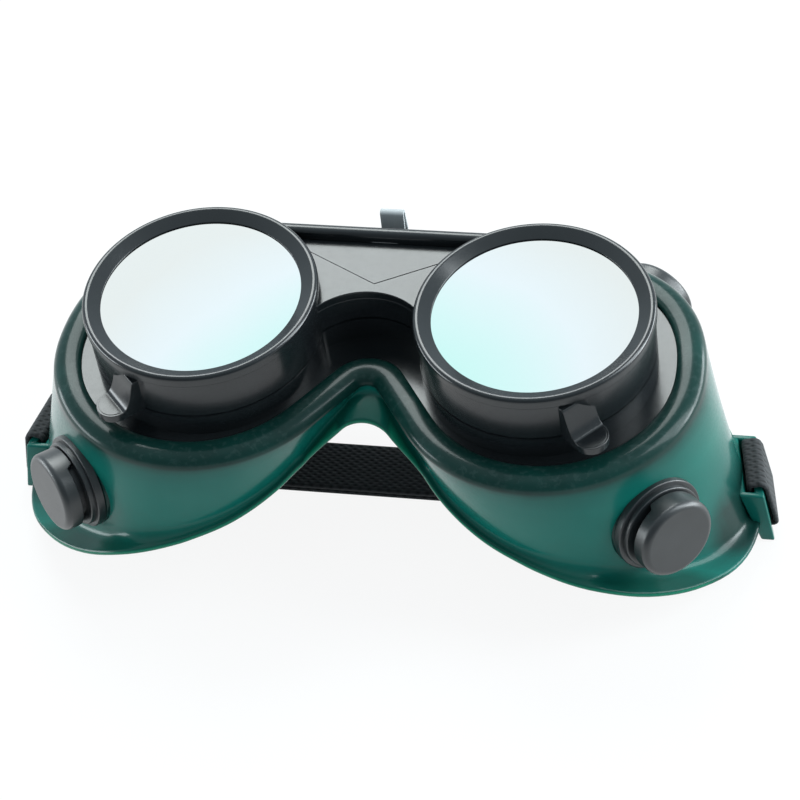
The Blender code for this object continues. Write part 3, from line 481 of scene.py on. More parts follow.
def spring_steel():
    """Rolled spring steel, matt grey, with fine lengthwise lines."""
    steel = Finish("spring_steel_sheet", Specular_IOR_Level=0.3)
    stretched = steel.node("ShaderNodeMapping", links={
        "Vector": steel.place(), "Scale": (5000, 400, 400)})
    line = steel.noise(1.0, 3, vector=stretched)
    steel.set(
        Base_Color=steel.mix(line, (0.36, 0.385, 0.395, 1), (0.46, 0.485, 0.495, 1)),
        Roughness=0.42 + 0.16 * line,
        Normal=steel.bump(line, 0.05, 0.00005),
    )
    return steel.material


def elastic():
    """Black knitted elastic: crossing diagonal threads round small dark diamonds."""
    knit = Finish("black_knit_elastic", Sheen_Weight=0.05, Sheen_Roughness=0.5)
    spot = knit.node("ShaderNodeUVMap", {"uv_map": "strap"})
    across = knit.node("ShaderNodeSeparateXYZ", links={0: spot}, output="X")
    along = knit.node("ShaderNodeSeparateXYZ", links={0: spot}, output="Y")

    def ridge(value):
        return knit.node("ShaderNodeMath", {"operation": "SINE"}, {0: value * math.tau}) * 0.5 + 0.5

    rising = ridge(across * THREADS_ACROSS + along * THREADS_ALONG)
    falling = ridge(across * THREADS_ACROSS - along * THREADS_ALONG)
    threads = 1 - rising * falling
    fuzz = knit.noise(1800, 3)
    knit.set(
        Base_Color=knit.mix(threads, (0.001, 0.001, 0.0015, 1), (0.016, 0.018, 0.02, 1)),
        Roughness=0.72 + 0.2 * fuzz,
        Normal=knit.bump(threads + 0.3 * fuzz, 0.6, 0.0003),
    )
    return knit.material


# Shape helpers

def arc(centre, radius, start, end, steps):
    """Points on a circle, angles in degrees, both ends included."""
    angles = [math.radians(start + (end - start) * i / steps) for i in range(steps + 1)]
    return [(centre[0] + radius * math.cos(a), centre[1] + radius * math.sin(a)) for a in angles]


def spun(profile, steps=128, turned=None):
    """A profile of (radius, height) points turned about z, closed on itself or on the axis."""
    shape = bmesh.new()
    points = [shape.verts.new((radius, 0, height)) for radius, height in profile]
    pairs = list(zip(points, points[1:]))
    if profile[0][0] > 0:
        pairs.append((points[-1], points[0]))
    edges = [shape.edges.new(pair) for pair in pairs]
    bmesh.ops.spin(shape, geom=points + edges, cent=(0, 0, 0), axis=(0, 0, 1), angle=math.tau,
                   steps=steps, use_merge=True)
    bmesh.ops.remove_doubles(shape, verts=shape.verts, dist=1e-4)
    if turned:
        shape.transform(turned)
    return shape


def pulled(outline, low, high, turned=None):
    """A closed outline in the XY plane, pulled from one height to another."""
    shape = bmesh.new()
    face = shape.faces.new([shape.verts.new((x, y, low)) for x, y in outline])
    made = bmesh.ops.extrude_face_region(shape, geom=[face])
    moved = [item for item in made["geom"] if isinstance(item, bmesh.types.BMVert)]
    bmesh.ops.translate(shape, verts=moved, vec=(0, 0, high - low))
    bmesh.ops.recalc_face_normals(shape, faces=shape.faces)
    if turned:
        shape.transform(turned)
    return shape


def softened(shape, width, angle=40.0, segments=3):
    """Rounds the edges that turn by more than an angle."""
    bmesh.ops.recalc_face_normals(shape, faces=shape.faces)
    sharp = [edge for edge in shape.edges if len(edge.link_faces) == 2
             and edge.calc_face_angle(0) > math.radians(angle)]
    bmesh.ops.bevel(shape, geom=sharp, offset=width, offset_type="OFFSET", affect="EDGES",
                    segments=segments, profile=0.5, material=-1, clamp_overlap=True)
    return shape


def joined(shapes):
    """One shape made of several, which are used up."""
    whole = bmesh.new()
    for shape in shapes:
        part = bpy.data.meshes.new("part")
        shape.to_mesh(part)
        shape.free()
        whole.from_mesh(part)
        bpy.data.meshes.remove(part)
    return whole


def mirrored(shape, side):
    """The shape itself for the left side, turned over to the right side for the other."""
    if side < 0:
        bmesh.ops.scale(shape, vec=(-1, 1, 1), verts=shape.verts)
        bmesh.ops.reverse_faces(shape, faces=shape.faces)
    return shape


def piece(name, shape, material, body, nodes, slot, angle=35.0, turn=True, flat=True):
    """Puts a finished shape on the frame in place of CAD nodes; flat keeps broad faces evenly lit."""
    if turn:
        bmesh.ops.recalc_face_normals(shape, faces=shape.faces)
    shape.transform(LAYOUT)
    mesh = bpy.data.meshes.new(name)
    shape.to_mesh(mesh)
    shape.free()
    mesh.shade_smooth()
    mesh.set_sharp_from_angle(angle=math.radians(angle))
    mesh.materials.append(material)
    shown = bpy.data.objects.new(name, mesh)
    bpy.context.scene.collection.objects.link(shown)
    if flat:
        shown.modifiers.new("even_faces", "WEIGHTED_NORMAL").keep_sharp = True
    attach(shown, body)
    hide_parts(*nodes)
    return shown


def merged_copy(node):
    """A CAD node's mesh with its loose triangles joined, back in the drawing's millimetres."""
    shape = bmesh.new()
    shape.from_mesh(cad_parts[node].data)
    shape.transform(LAYOUT.inverted())
    bmesh.ops.remove_doubles(shape, verts=shape.verts, dist=1e-3)
    bmesh.ops.dissolve_limit(shape, angle_limit=math.radians(1), verts=shape.verts, edges=shape.edges)
    return shape


def rounded_copy(node, width):
    """A CAD node's mesh with its sharp edges rounded."""
    return softened(merged_copy(node), width, 50, 2)


def eye_frame(side):
    """Axes of the lenses on one side."""
    return Matrix.Translation((side * LENS_X, 0, 0))


# Soft body

def circle_place(degrees):
    """Place along the lip line of an angle round the eye."""
    return 2 + (degrees - EYE_START) / (EYE_END - EYE_START)


def station(place):
    """Point, outward normal and flare of the lip line at a place."""
    flank = Vector((-math.sin(NOSE_SLOPE), -math.cos(NOSE_SLOPE)))
    arch = Vector((0, -(EYE.dot(flank) + LIP_RADIUS + NOSE_RADIUS) / math.cos(NOSE_SLOPE)))
    down = Vector((0, -1))
    if place <= 1:
        inward = Vector((math.sin(NOSE_SLOPE * place), math.cos(NOSE_SLOPE * place)))
        return arch + NOSE_RADIUS * inward, -inward, down
    if place <= 2:
        start = arch - NOSE_RADIUS * flank
        return start.lerp(EYE + LIP_RADIUS * flank, place - 1), flank, down
    if place <= 3:
        degrees = EYE_START + (EYE_END - EYE_START) * (place - 2)
        out = Vector((math.cos(math.radians(degrees)), math.sin(math.radians(degrees))))
        corner = LIP_CORNER * math.sin(2 * math.radians(degrees)) ** 2 if degrees > 360 else 0
        return EYE + (LIP_RADIUS + corner) * out, out, down if degrees < 270 else out
    share = place - 3
    rise = BROW_RISE * (1 - math.cos(math.pi * share)) / 2
    slope = BROW_RISE * math.pi * math.sin(math.pi * share) / (2 * EYE.x)
    return (Vector((EYE.x * (1 - share), EYE.y + LIP_RADIUS + rise)), Vector((slope, 1)).normalized(),
            Vector((0, 1)))


def face_edge(place):
    """Reach, depth and flange width at a place, on a smooth curve through the face edge's points."""
    keys = [(circle_place(key) if key > BROW_MIDDLE else key, values) for key, *values in FACE_EDGE]
    keys = [(-keys[1][0], keys[1][1])] + keys + [(2 * BROW_MIDDLE - keys[-2][0], keys[-2][1])]
    index = 1
    while index < len(keys) - 3 and keys[index + 1][0] < place:
        index += 1
    (p0, a), (p1, b), (p2, c), (p3, d) = keys[index - 1:index + 3]
    span = p2 - p1
    t = (place - p1) / span
    found = []
    for v0, v1, v2, v3 in zip(a, b, c, d):
        rise1 = (v2 - v0) / (p2 - p0) * span
        rise2 = (v3 - v1) / (p3 - p1) * span
        found.append((2 * t ** 3 - 3 * t ** 2 + 1) * v1 + (t ** 3 - 2 * t ** 2 + t) * rise1
                     + (3 * t ** 2 - 2 * t ** 3) * v2 + (t ** 3 - t ** 2) * rise2)
    return found


def body_section(place):
    """Closed section of the soft body with rounded corners, as (point, painted light) pairs."""
    point, normal, flare = station(place)
    reach, depth, width = face_edge(place)

    def at(offset, below):
        spot = point + offset * normal
        return Vector((spot.x, spot.y, -below))

    found = []
    for i in range(LIP_STEPS + 1):
        angle = math.pi * (1 - i / LIP_STEPS)
        outside = math.cos(angle) > 0
        wide, drop = (LIP_OUTER, LIP_SHOULDER) if outside else (LIP_INNER, LIP_BACK - LIP_DEPTH)
        found.append((at(wide * math.cos(angle), LIP_DEPTH + drop * (1 - math.sin(angle))), 0.0))
    shoulder = found[-1][0]
    rim = point + reach * flare
    edge = Vector((rim.x, rim.y, -depth))
    spot = point + (reach - width) * flare
    foot = Vector((spot.x, spot.y, -depth + FLANGE_HALF + FLANGE_LEAN * width))
    lift = Vector((0, 0, FLANGE_HALF))
    down = foot - shoulder
    bend = min(BEND_LENGTH, down.length * BEND_WALL_SHARE, width * BEND_FLANGE_SHARE)
    start = foot - down.normalized() * bend
    out = (edge + lift - foot).normalized()
    end = foot + out * min(bend, width * BEND_END_SHARE)
    found += [(shoulder.lerp(start, share), painted_light) for share, painted_light in WALL_PAINTED_LIGHT]
    for i in range(BEND_STEPS + 1):
        t = i / BEND_STEPS
        found.append(((1 - t) ** 2 * start + 2 * t * (1 - t) * foot + t ** 2 * end,
                      BEND_PAINTED_LIGHT + BEND_PAINTED_LIGHT_RISE * t))
    inset = edge - out * FLANGE_HALF
    for i in range(EDGE_STEPS + 1):
        turn = math.pi * (0.5 - i / EDGE_STEPS)
        # Painted glow along the flange's edge and all over the flange on the nose flank
        on_edge = 1 < i < EDGE_STEPS - 1
        on_flank = 1 < place < 2
        found.append((inset + FLANGE_HALF * (math.cos(turn) * out + math.sin(turn) * Vector((0, 0, 1))),
                      1.0 if on_edge or on_flank else FLANGE_PAINTED_LIGHT))
    back = spot - WALL * normal
    back_foot = Vector((back.x, back.y, foot.z - 2 * FLANGE_HALF))
    inner = at(LIP_OUTER - WALL, INNER_DEPTH)
    middle_painted_light, foot_painted_light, inside_painted_light = BACK_PAINTED_LIGHT
    found.append(((inset - lift).lerp(back_foot, 0.5), middle_painted_light))
    found.append((back_foot, foot_painted_light))
    found += [(back_foot.lerp(inner, i / 4), inside_painted_light) for i in range(1, 4)]
    found.append((inner, 0.0))
    return found + [(at(*spot), 0.0) for spot in FRAME_GROOVE]


def ring_of(shape, section, layer):
    """One closed run of edges through a section's points, with painted shade close to a lug's root."""
    loop = []
    for point, painted_light in section:
        # Painted shade: the painted light fades out towards the lug's root
        away = (Vector((abs(point.x), point.y, point.z)) - LUG_SHADE_CENTRE).length
        out_of_lug_shade = min(max((away - LUG_SHADE_NEAR) / (LUG_SHADE_FAR - LUG_SHADE_NEAR), 0), 1)
        vert = shape.verts.new(point)
        vert[layer] = painted_light * out_of_lug_shade
        loop.append(vert)
    return [shape.edges.new((loop[i - 1], loop[i])) for i in range(len(loop))]


def lofted_body():
    """The soft body as a loft of sections round the lip line, with the right half mirrored."""
    shape = bmesh.new()
    layer = shape.verts.layers.float.new("painted_light")
    places = []
    for segment, count in enumerate(STATION_COUNTS):
        places += [segment + i / count for i in range(count)]
    left = [body_section(place) for place in places + [BROW_MIDDLE]]
    right = [[(Vector((-p.x, p.y, p.z)), painted_light) for p, painted_light in section] for section in left[-2:0:-1]]
    rings = [ring_of(shape, section, layer) for section in left + right]
    for ring, before in zip(rings, [rings[-1]] + rings[:-1]):
        bmesh.ops.bridge_loops(shape, edges=ring + before)
    return shape


def lug_x(depth):
    """Outer face of a lug's bar at a depth."""
    return LUG_FRONT_X + LUG_LEAN * (depth - LUG_FRONT)


def tapered(front, back, front_depth, back_depth):
    """A block between two rectangles (low x, high x, low y, high y) at two depths, its edges rounded."""
    shape = bmesh.new()
    bmesh.ops.create_cube(shape, size=2.0)
    for vert in shape.verts:
        x0, x1, y0, y1 = front if vert.co.z > 0 else back
        depth = front_depth if vert.co.z > 0 else back_depth
        vert.co = (x1 if vert.co.x > 0 else x0, y1 if vert.co.y > 0 else y0, -depth)
    return softened(shape, LUG_EDGE)


def lug(side):
    """Strap lug: two end walls that flare to their feet, and the bar that the strap goes round."""
    low = STRAP_MIDDLE - STRAP_WIDTH / 2 - LUG_GAP
    high = STRAP_MIDDLE + STRAP_WIDTH / 2 + LUG_GAP
    root = LUG_ROOT_X + LUG_ROOT_LEAN * (FLOOR_DEPTH - LUG_FRONT)
    outer = lug_x(FLOOR_DEPTH)
    lower_end = tapered((LUG_ROOT_X, LUG_FRONT_X, low - LUG_END, low),
                        (root, outer, low - LUG_END_FOOT, low), LUG_FRONT, FLOOR_DEPTH)
    upper_end = tapered((LUG_ROOT_X, LUG_FRONT_X, high, high + LUG_END),
                        (root, outer, high, high + LUG_END_FOOT), LUG_FRONT, FLOOR_DEPTH)
    span = (low - LUG_OVERLAP, high + LUG_OVERLAP)
    foot = lug_x(LUG_BAR_FOOT)
    bar = tapered((LUG_FRONT_X - LUG_BAR, LUG_FRONT_X, *span), (foot - LUG_BAR, foot, *span),
                  LUG_FRONT, LUG_BAR_FOOT)
    inner = tapered((LUG_ROOT_X - LUG_ROOT_DEPTH, LUG_FRONT_X - LUG_BAR - SLOT_WIDTH, *span),
                    (LUG_ROOT_X, foot - LUG_BAR - SLOT_WIDTH, *span), LUG_FRONT, LUG_BAR_FOOT)
    whole = joined([lower_end, upper_end, bar, inner])
    # An even level of painted light over each lug, a dim painted shade
    layer = whole.verts.layers.float.new("painted_light")
    for vert in whole.verts:
        vert.co.x -= LUG_SKEW * (vert.co.y - STRAP_MIDDLE)
        vert[layer] = LUG_PAINTED_LIGHT
    return mirrored(whole, side)


def vent_frame(degrees, depth, side):
    """Axes of a vent that stands square on the wall."""
    place = circle_place(degrees)
    point, normal, flare = station(place)
    reach, edge_depth, width = face_edge(place)
    spot = point + LIP_OUTER * normal
    top = Vector((spot.x, spot.y, -LIP_DEPTH - LIP_SHOULDER))
    spot = point + (reach - width) * flare
    foot = Vector((spot.x, spot.y, -edge_depth + FLANGE_HALF + FLANGE_LEAN * width))
    centre = top.lerp(foot, (depth + top.z) / (top.z - foot.z))
    out = Vector((-normal.y, normal.x, 0)).cross((top - foot).normalized()).normalized()
    if out.xy.dot(normal) < 0:
        out = -out
    centre.x *= side
    out.x *= side
    return Matrix.Translation(centre) @ out.to_track_quat("Z", "Y").to_matrix().to_4x4()


def vents():
    """Name and axes of every vent."""
    for row, (degrees, depth) in VENT_ROWS.items():
        for hand, side in SIDES.items():
            yield f"{row}_{hand}", vent_frame(degrees, depth, side)


def vent_boss(turned):
    """Thick ring of the soft body that a vent sits in."""
    return spun([(7.7, -1.0), (11.2, -1.0), (11.4, -1.2), (11.4, -4.4), (7.7, -4.4)], 64, turned)


def make_body(material):
    shapes = [lofted_body()] + [lug(side) for side in SIDES.values()]
    shapes += [vent_boss(turned) for _, turned in vents()]
    piece("goggle_shell", joined(shapes), material, "base", ["goggle_body"], "soft_green", 50,
          flat=False)


# Flip-up front

def cup():
    """Section of a lens cup: bevelled rim with a rounded crest, a shadow step and a straight wall."""
    crest = arc((RIM_RADIUS - CREST_ROUND, RIM_HEIGHT - CREST_ROUND), CREST_ROUND, 118, 0, 14)
    step = arc((RIM_RADIUS - STEP_ROUND, RIM_HEIGHT - RIM_DROP), STEP_ROUND, 0, -90, 3)
    foot = arc((CUP_RADIUS - STEP_ROUND, STEP_ROUND - PARTING_DEPTH), STEP_ROUND, 0, -90, 3)
    wall = [(CUP_RADIUS + 0.05, RIM_HEIGHT - 2.85), (CUP_RADIUS, RIM_HEIGHT - 3.1)]
    inside = [(BORE_RADIUS, -PARTING_DEPTH), (BORE_RADIUS, LENS_SEAT), (VIEW_RADIUS, LENS_SEAT)]
    bevel = [(VIEW_RADIUS, 0.25), (VIEW_RADIUS + 0.12, 0.36)]
    return crest + step + wall + foot + inside + bevel


def arch(radius, half_span):
    """Arc of the nose arch, or one beside it, between two points either side of the middle."""
    spread = math.degrees(math.asin(half_span / radius))
    return arc((0, ARCH_TOP - ARCH_RADIUS), radius, 90 + spread, 90 - spread, 24)


def bridge_outline():
    """Plan of the bridge: arched below, its back notched for the clip, its ends along the cups."""
    radius = CUP_RADIUS - 0.9
    below = arch(ARCH_RADIUS, ARCH_HALF)
    low = 180 - math.degrees(math.asin(below[-1][1] / radius))
    high = 180 - math.degrees(math.asin(BRIDGE_BACK / radius))
    right = arc((LENS_X, 0), radius, low, high, 16)
    left = [(-x, y) for x, y in reversed(right)]
    notch = [(NOTCH_HALF, BRIDGE_BACK), (NOTCH_HALF, NOTCH_FRONT)]
    return below + right[1:] + notch + [(-x, y) for x, y in reversed(notch)] + left[:-1]


def bridge():
    """Bridge plate with walls hanging from its arch and from both halves of its back."""
    underside = -BRIDGE_DEPTH - BRIDGE_WALL
    plate = pulled(bridge_outline(), underside, -BRIDGE_DEPTH)
    for vert in plate.verts:
        if abs(vert.co.y - NOTCH_FRONT) < 0.01 and vert.co.z < -BRIDGE_DEPTH:
            vert.co.y -= NOTCH_SLOPE
    band = arch(ARCH_RADIUS, ARCH_HALF) + arch(ARCH_RADIUS + BRIDGE_WALL, ARCH_WALL_HALF)[::-1]
    walls = [pulled(band, -PARTING_DEPTH, underside)]
    for side in SIDES.values():
        back = [(side * NOTCH_HALF, BRIDGE_BACK - BRIDGE_WALL),
                (side * BACK_WALL_INNER, BRIDGE_BACK - BRIDGE_WALL),
                (side * BACK_WALL_OUTER, BRIDGE_BACK), (side * NOTCH_HALF, BRIDGE_BACK)]
        walls.append(pulled(back, -PARTING_DEPTH, underside))
    return softened(joined([plate] + walls), 0.25)


def brow_panel():
    """Shallow raised panel with a pointed lower edge on the bridge."""
    outline = [(0, 9.0), (21.4, 20.4), (22.4, 21.9), (-22.4, 21.9), (-21.4, 20.4)]
    panel = pulled(outline, -BRIDGE_DEPTH - PANEL_SINK, -BRIDGE_DEPTH + PANEL_RISE)
    return softened(panel, 0.06, segments=2)


def top_bar():
    """Round bar along the back of the bridge, its ends cut to the cups and its back cut for the clip."""
    whole = arc(BAR, BAR_RADIUS, -50, 195, 28) + [(BAR[0] - BAR_RADIUS + 0.1, -BRIDGE_DEPTH - 0.2),
                                                  (BRIDGE_BACK, -BRIDGE_DEPTH - 0.2)]
    notched = arc(BAR, BAR_RADIUS, 25, 225, 24)
    ends = [pulled(whole, side * NOTCH_HALF, side * 10, ALONG_X) for side in SIDES.values()]
    shape = joined(ends + [pulled(notched, -NOTCH_HALF, NOTCH_HALF, ALONG_X)])
    for vert in shape.verts:
        if abs(vert.co.x) > NOTCH_HALF + 1:
            reach = LENS_X - math.sqrt(BAR_END_RADIUS ** 2 - vert.co.y ** 2)
            vert.co.x = math.copysign(reach, vert.co.x)
    return shape


def hinge_arm(side):
    """Round-ended arm from the back of the bridge to the hinge."""
    tip = arc(HINGE, ARM_RADIUS, -110, 110, 14)
    outline = [(BRIDGE_BACK - 1, 0.3 - PARTING_DEPTH)] + tip + [(BRIDGE_BACK - 1, ARM_TOP)]
    return softened(pulled(outline, side * ARM_NEAR, side * ARM_FAR, ALONG_X), 0.2)


def hinge_barrel():
    """Tube that the hinge rod runs through."""
    chamfer_radius = BARREL_RADIUS - BARREL_CHAMFER
    chamfer_half = BARREL_HALF - BARREL_CHAMFER
    profile = [(BARREL_BORE, -BARREL_HALF), (chamfer_radius, -BARREL_HALF),
               (BARREL_RADIUS, -chamfer_half), (BARREL_RADIUS, chamfer_half),
               (chamfer_radius, BARREL_HALF), (BARREL_BORE, BARREL_HALF)]
    across = Matrix.Translation((0, *HINGE)) @ Matrix.Rotation(math.pi / 2, 4, "Y")
    return spun(profile, 48, across)


def finger_tab(side):
    """Round-ended tongue that curves out from under the rim to a flat tip with a thin raised rim."""
    end = TAB_REACH - TAB_HALF
    ramp = end - TAB_RAMP_GAP - CUP_RADIUS
    about = Vector((CUP_RADIUS, 0, 0))
    lean = Matrix.Translation(about) @ Matrix.Rotation(TAB_LEAN, 4, "Z") @ Matrix.Translation(-about)
    cup_axis = lean.inverted() @ Vector((0, 0, 0))

    def root(y):
        return cup_axis.x + math.sqrt(TAB_ROOT ** 2 - (y - cup_axis.y) ** 2), y

    plan = [root(-TAB_HALF)] + arc((end, 0), TAB_HALF, -90, 90, 20) + [root(TAB_HALF)]
    shape = pulled(plan, -PARTING_DEPTH, TAB_FLAT)
    for i in range(TAB_CUTS):
        cut = (CUP_RADIUS - 1 + TAB_CUT_STEP * i, 0, 0)
        bmesh.ops.bisect_plane(shape, geom=shape.verts[:] + shape.edges[:] + shape.faces[:],
                               plane_co=cut, plane_no=(1, 0, 0))
    for vert in shape.verts:
        if vert.co.z > TAB_FLAT - 1:
            left = 1 - min(max((vert.co.x - CUP_RADIUS) / ramp, 0), 1)
            vert.co.z = TAB_FLAT + (TAB_TOP - TAB_FLAT) * left ** TAB_CURVE
    pad_plan = arc((end, 0), TAB_HALF - TAB_PAD_INSET, -90, 90, 20)
    pad = softened(pulled(pad_plan, TAB_FLAT - 1, TAB_FLAT + TAB_PAD_RISE), 0.1)
    whole = joined([softened(shape, 0.4, 50), pad])
    turn = Matrix.Rotation(math.radians(TAB_ANGLE), 4, "Z")
    whole.transform(Matrix.Translation((LENS_X, 0, 0)) @ turn @ lean)
    return mirrored(whole, side)


def make_flip_front(material):
    shapes = [spun(cup(), CUP_STEPS, eye_frame(side)) for side in SIDES.values()]
    piece("lens_cups", joined(shapes), material, "flip", ["flip_front"], "black_plastic", 50)
    tabs = [finger_tab(side) for side in SIDES.values()]
    piece("finger_tabs", joined(tabs), material, "flip", ["flip_front"], "black_plastic", 50)
    shapes = [bridge(), brow_panel(), top_bar(), hinge_barrel()]
    shapes += [hinge_arm(side) for side in SIDES.values()]
    piece("bridge_and_bar", joined(shapes), material, "flip", ["flip_front"], "black_plastic", 40)


def make_fixed_frame(material):
    shapes = [merged_copy("fixed_frame")]
    shapes += [spun(SLEEVE, CUP_STEPS, eye_frame(side)) for side in SIDES.values()]
    piece("eye_frame", joined(shapes), material, "base", ["fixed_frame"], "black_plastic", 30,
          turn=False)


# Lenses, rings and hinge pieces

def disc(top, thickness):
    """Section of a round lens with bevelled edges."""
    low = top - thickness
    flat = LENS_RADIUS - LENS_CHAMFER
    return [(0, top), (flat, top), (LENS_RADIUS, top - LENS_CHAMFER), (LENS_RADIUS, low + LENS_CHAMFER),
            (flat, low), (0, low)]


def ring(top):
    """Section of a retaining ring with bevelled edges."""
    low = top - RING_HEIGHT
    inner_flat = RING_INNER + RING_CHAMFER
    outer_flat = RING_OUTER - RING_CHAMFER
    return [(RING_INNER, top - RING_CHAMFER), (inner_flat, top), (outer_flat, top),
            (RING_OUTER, top - RING_CHAMFER), (RING_OUTER, low + RING_CHAMFER), (outer_flat, low),
            (inner_flat, low), (RING_INNER, low + RING_CHAMFER)]


def make_lenses(filter_finish, clear_finish, black):
    for hand, side in SIDES.items():
        for name, top, thickness, finish, body, slot in (
                ("filter_lens", 0.0, 3.0, filter_finish, "flip", "filter_glass"),
                ("clear_lens", -13.7, 2.0, clear_finish, "base", "clear_glass")):
            shape = spun(disc(top, thickness), turned=eye_frame(side))
            piece(f"{name}_disc_{hand}", shape, finish, body, [f"{name}_{hand}"], slot)
        for name, top, body in (("filter_ring", -3.3, "flip"), ("clear_ring", -11.0, "base")):
            shape = spun(ring(top), turned=eye_frame(side))
            piece(f"{name}_turned_{hand}", shape, black, body, [f"{name}_{hand}"], "black_plastic")


def make_hinge(steel):
    clip = rounded_copy("spring_clip", 0.12)
    piece("clip_sheet", clip, steel, "base", ["spring_clip"], "spring_steel")
    rod = rounded_copy("hinge_pin", 0.15)
    piece("hinge_rod", rod, steel, "base", ["hinge_pin"], "spring_steel")


# Vents

def vent_lid(turned):
    """Lid with a rounded face, whose skirt stops short towards the nose to let air in."""
    profile = [(0, 8.4), (8.1, 8.4)] + arc((8.1, 6.8), 1.6, 90, 0, 10)
    profile += [(9.7, 2.9), (9.5, 2.7), (7.9, 2.7), (7.9, 4.7), (4.7, 4.7), (4.7, 1.1), (0, 1.1)]
    shape = spun(profile, VENT_STEPS)
    nose = turned.to_3x3().inverted() @ Vector((-turned.translation.x, 0, 0))
    for vert in shape.verts:
        in_skirt = vert.co.xy.length > SKIRT_RADIUS and vert.co.z < SKIRT_TOP
        if in_skirt and vert.co.xy.normalized().dot(nose.xy.normalized()) > SKIRT_FACING:
            vert.co.z += AIR_GAP
    shape.transform(turned)
    return shape


def make_vents(satin):
    base = [(5.0, 4.4), (7.5, 4.4), (7.6, 4.3), (7.6, 2.5), (10.1, 2.5)]
    base += arc((10.1, 2.2), 0.3, 80, 0, 3) + [(10.4, 1.2), (11.2, 1.2)]
    base += arc((11.2, 0.9), 0.3, 80, 0, 3)
    base += [(11.5, -0.7), (7.4, -0.7), (7.4, -4.9), (9.1, -4.9), (9.3, -5.1), (9.3, -5.9), (9.1, -6.1),
             (5.0, -6.1)]
    for name, turned in vents():
        seat = spun(base, VENT_STEPS, turned)
        piece(f"vent_seat_{name}", seat, satin, "base", [f"vent_base_{name}"], "black_plastic")
        piece(f"vent_lid_{name}", vent_lid(turned), satin, "base", [f"vent_cap_{name}"], "black_plastic")


# Strap and slider

def lug_wrap():
    """Strap round the left lug's bar: from under it, up outside it and down through the slot."""
    half = STRAP_THICKNESS / 2
    outside = half + STRAP_GAP
    slot = LUG_BAR + SLOT_WIDTH / 2
    bend = 2 * half
    outer_foot = lug_x(LUG_BAR_FOOT) + outside
    inner_foot = lug_x(LUG_BAR_FOOT) - slot
    top = LUG_FRONT - outside
    points = arc((outer_foot - bend / 2, bend - STRAP_LOWER), bend, -90, 0, 8)
    points += [(lug_x(LUG_FRONT) + outside, -LUG_FRONT)]
    points += arc((lug_x(top) - half, -LUG_FRONT), outside + half, 40, 90, 6)
    points += arc((lug_x(top) - slot + bend, -LUG_FRONT), outside, 90, 150, 6)
    points += [(lug_x(LUG_FRONT + bend) - slot, -LUG_FRONT - bend), (inner_foot, -LUG_BAR_FOOT)]
    return points + arc((inner_foot - half, half - STRAP_UPPER), half, 0, -90, 6)


def straight(start, end, spacing=3.0):
    """Points between two ends, neither included."""
    count = int(math.dist(start, end) / spacing)
    return [(start[0] + (end[0] - start[0]) * i / count, start[1] + (end[1] - start[1]) * i / count)
            for i in range(1, count)]


def strap_path():
    """(x, z, skew) along the middle of the strap, from its sewn end round both lugs to its loose end."""
    wrap = [(x, z, LUG_SKEW) for x, z in lug_wrap()]
    right = [(-x, z, -skew) for x, z, skew in reversed(wrap)]
    sewn = (STRAP_SEWN_X, -STRAP_UPPER)
    tail = (STRAP_TAIL_X, -STRAP_UPPER)
    path = [(*sewn, 0.0)] + [(x, z, 0.0) for x, z in straight(sewn, right[0][:2])] + right
    path += [(x, z, 0.0) for x, z in straight(right[-1][:2], wrap[0][:2])] + wrap
    path += [(x, z, 0.0) for x, z in straight(wrap[-1][:2], tail)] + [(*tail, 0.0)]
    return path


def strap_section():
    """Closed section of the strap as (across, through) pairs, its edges rounded."""
    half = STRAP_WIDTH / 2
    thick = STRAP_THICKNESS / 2
    flat = half - thick
    top = [(flat * (1 - i / 5), thick) for i in range(11)]
    under = [(-across, -thick) for across, _ in top]
    return top + arc((-flat, 0), thick, 120, 240, 4) + under + arc((flat, 0), thick, -60, 60, 4)


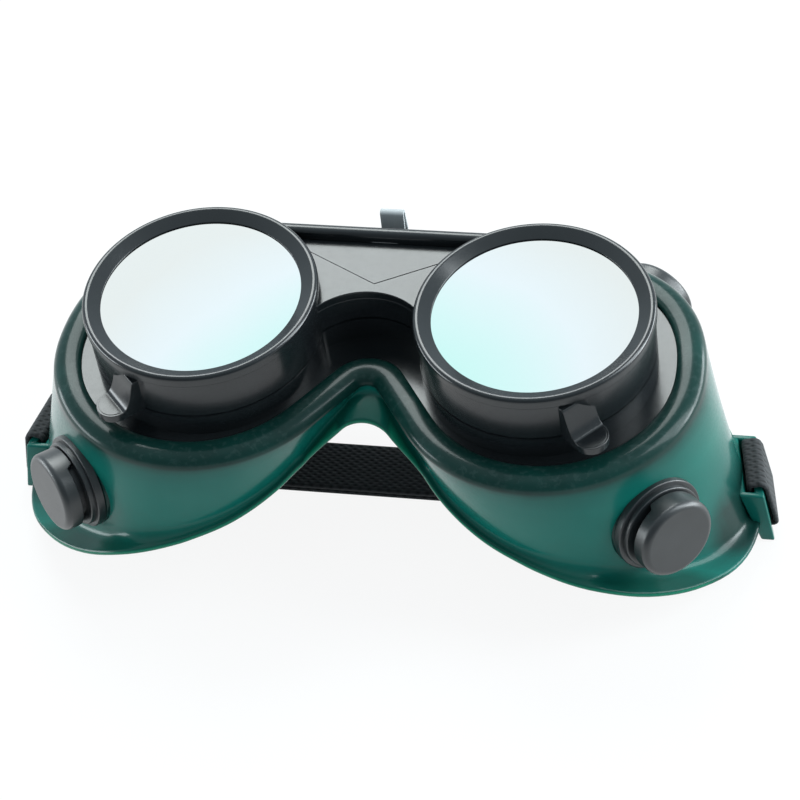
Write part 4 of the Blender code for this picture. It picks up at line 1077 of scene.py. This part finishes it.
def make_strap(material):
    """The strap's section swept along its path, whose run gives the knit."""
    shape = bmesh.new()
    spot = shape.loops.layers.uv.new("strap")
    path = strap_path()
    section = strap_section()
    rings = []
    run = 0.0
    runs = {}
    for i, (x, z, skew) in enumerate(path):
        before = Vector(path[max(i - 1, 0)][:2])
        after = Vector(path[min(i + 1, len(path) - 1)][:2])
        way = (after - before).normalized()
        run += (Vector((x, z)) - before).length
        loop = []
        for across, through in section:
            vert = shape.verts.new((x - way.y * through - skew * across, STRAP_MIDDLE + across,
                                    z + way.x * through))
            runs[vert] = (across / STRAP_WIDTH + 0.5, run / STRAP_WIDTH)
            loop.append(vert)
        rings.append([shape.edges.new((loop[k - 1], loop[k])) for k in range(len(loop))])
    for ring, following in zip(rings, rings[1:]):
        bmesh.ops.bridge_loops(shape, edges=ring + following)
    bmesh.ops.holes_fill(shape, edges=rings[0] + rings[-1])
    for face in shape.faces:
        for loop in face.loops:
            loop[spot].uv = runs[loop.vert]
    strap = piece("elastic_strap", shape, material, "base", ["strap_band"], "elastic", 60, flat=False)


def make_slider(black):
    buckle = rounded_copy("strap_slider", 0.25)
    piece("slider_buckle", buckle, black, "slider", ["strap_slider"], "black_plastic")


# Floor

def make_floor():
    """White paper that glows for the camera and in mirrors, and is lit as paper otherwise."""
    paper = Finish("white_paper", Specular_IOR_Level=0.2)
    grain = paper.noise(300, 3)
    paper.set(Base_Color=paper.mix(grain, (0.82, 0.88, 0.9, 1), (0.85, 0.91, 0.93, 1)),
              Roughness=0.85 + 0.1 * grain)
    seen = paper.node("ShaderNodeLightPath", output="Is Camera Ray")
    glossy = paper.node("ShaderNodeLightPath", output="Is Glossy Ray")
    white = paper.node("ShaderNodeEmission", links={"Strength": 1.0})
    lit = Wire(paper, paper.shader.outputs[0])
    glow = (seen + FLOOR_GLOSS_SHARE * glossy) * FLOOR_GLOW
    shown = paper.node("ShaderNodeMixShader", links={0: glow, 1: lit, 2: white})
    paper.feed(paper.tree.nodes["Material Output"].inputs["Surface"], shown)
    shape = bmesh.new()
    bmesh.ops.create_grid(shape, x_segments=4, y_segments=4, size=FLOOR_HALF)
    mesh = bpy.data.meshes.new("studio_floor")
    shape.to_mesh(mesh)
    shape.free()
    mesh.materials.append(paper.material)
    floor = bpy.data.objects.new("studio_floor", mesh)
    bpy.context.scene.collection.objects.link(floor)


set_camera()
set_light()
make_floor()
black_finish = black_plastic()
steel_finish = spring_steel()
make_body(soft_green())
make_fixed_frame(black_finish)
make_flip_front(black_finish)
make_lenses(filter_glass(), clear_glass(), black_finish)
make_hinge(steel_finish)
make_vents(satin_plastic())
make_strap(elastic())
make_slider(black_finish)
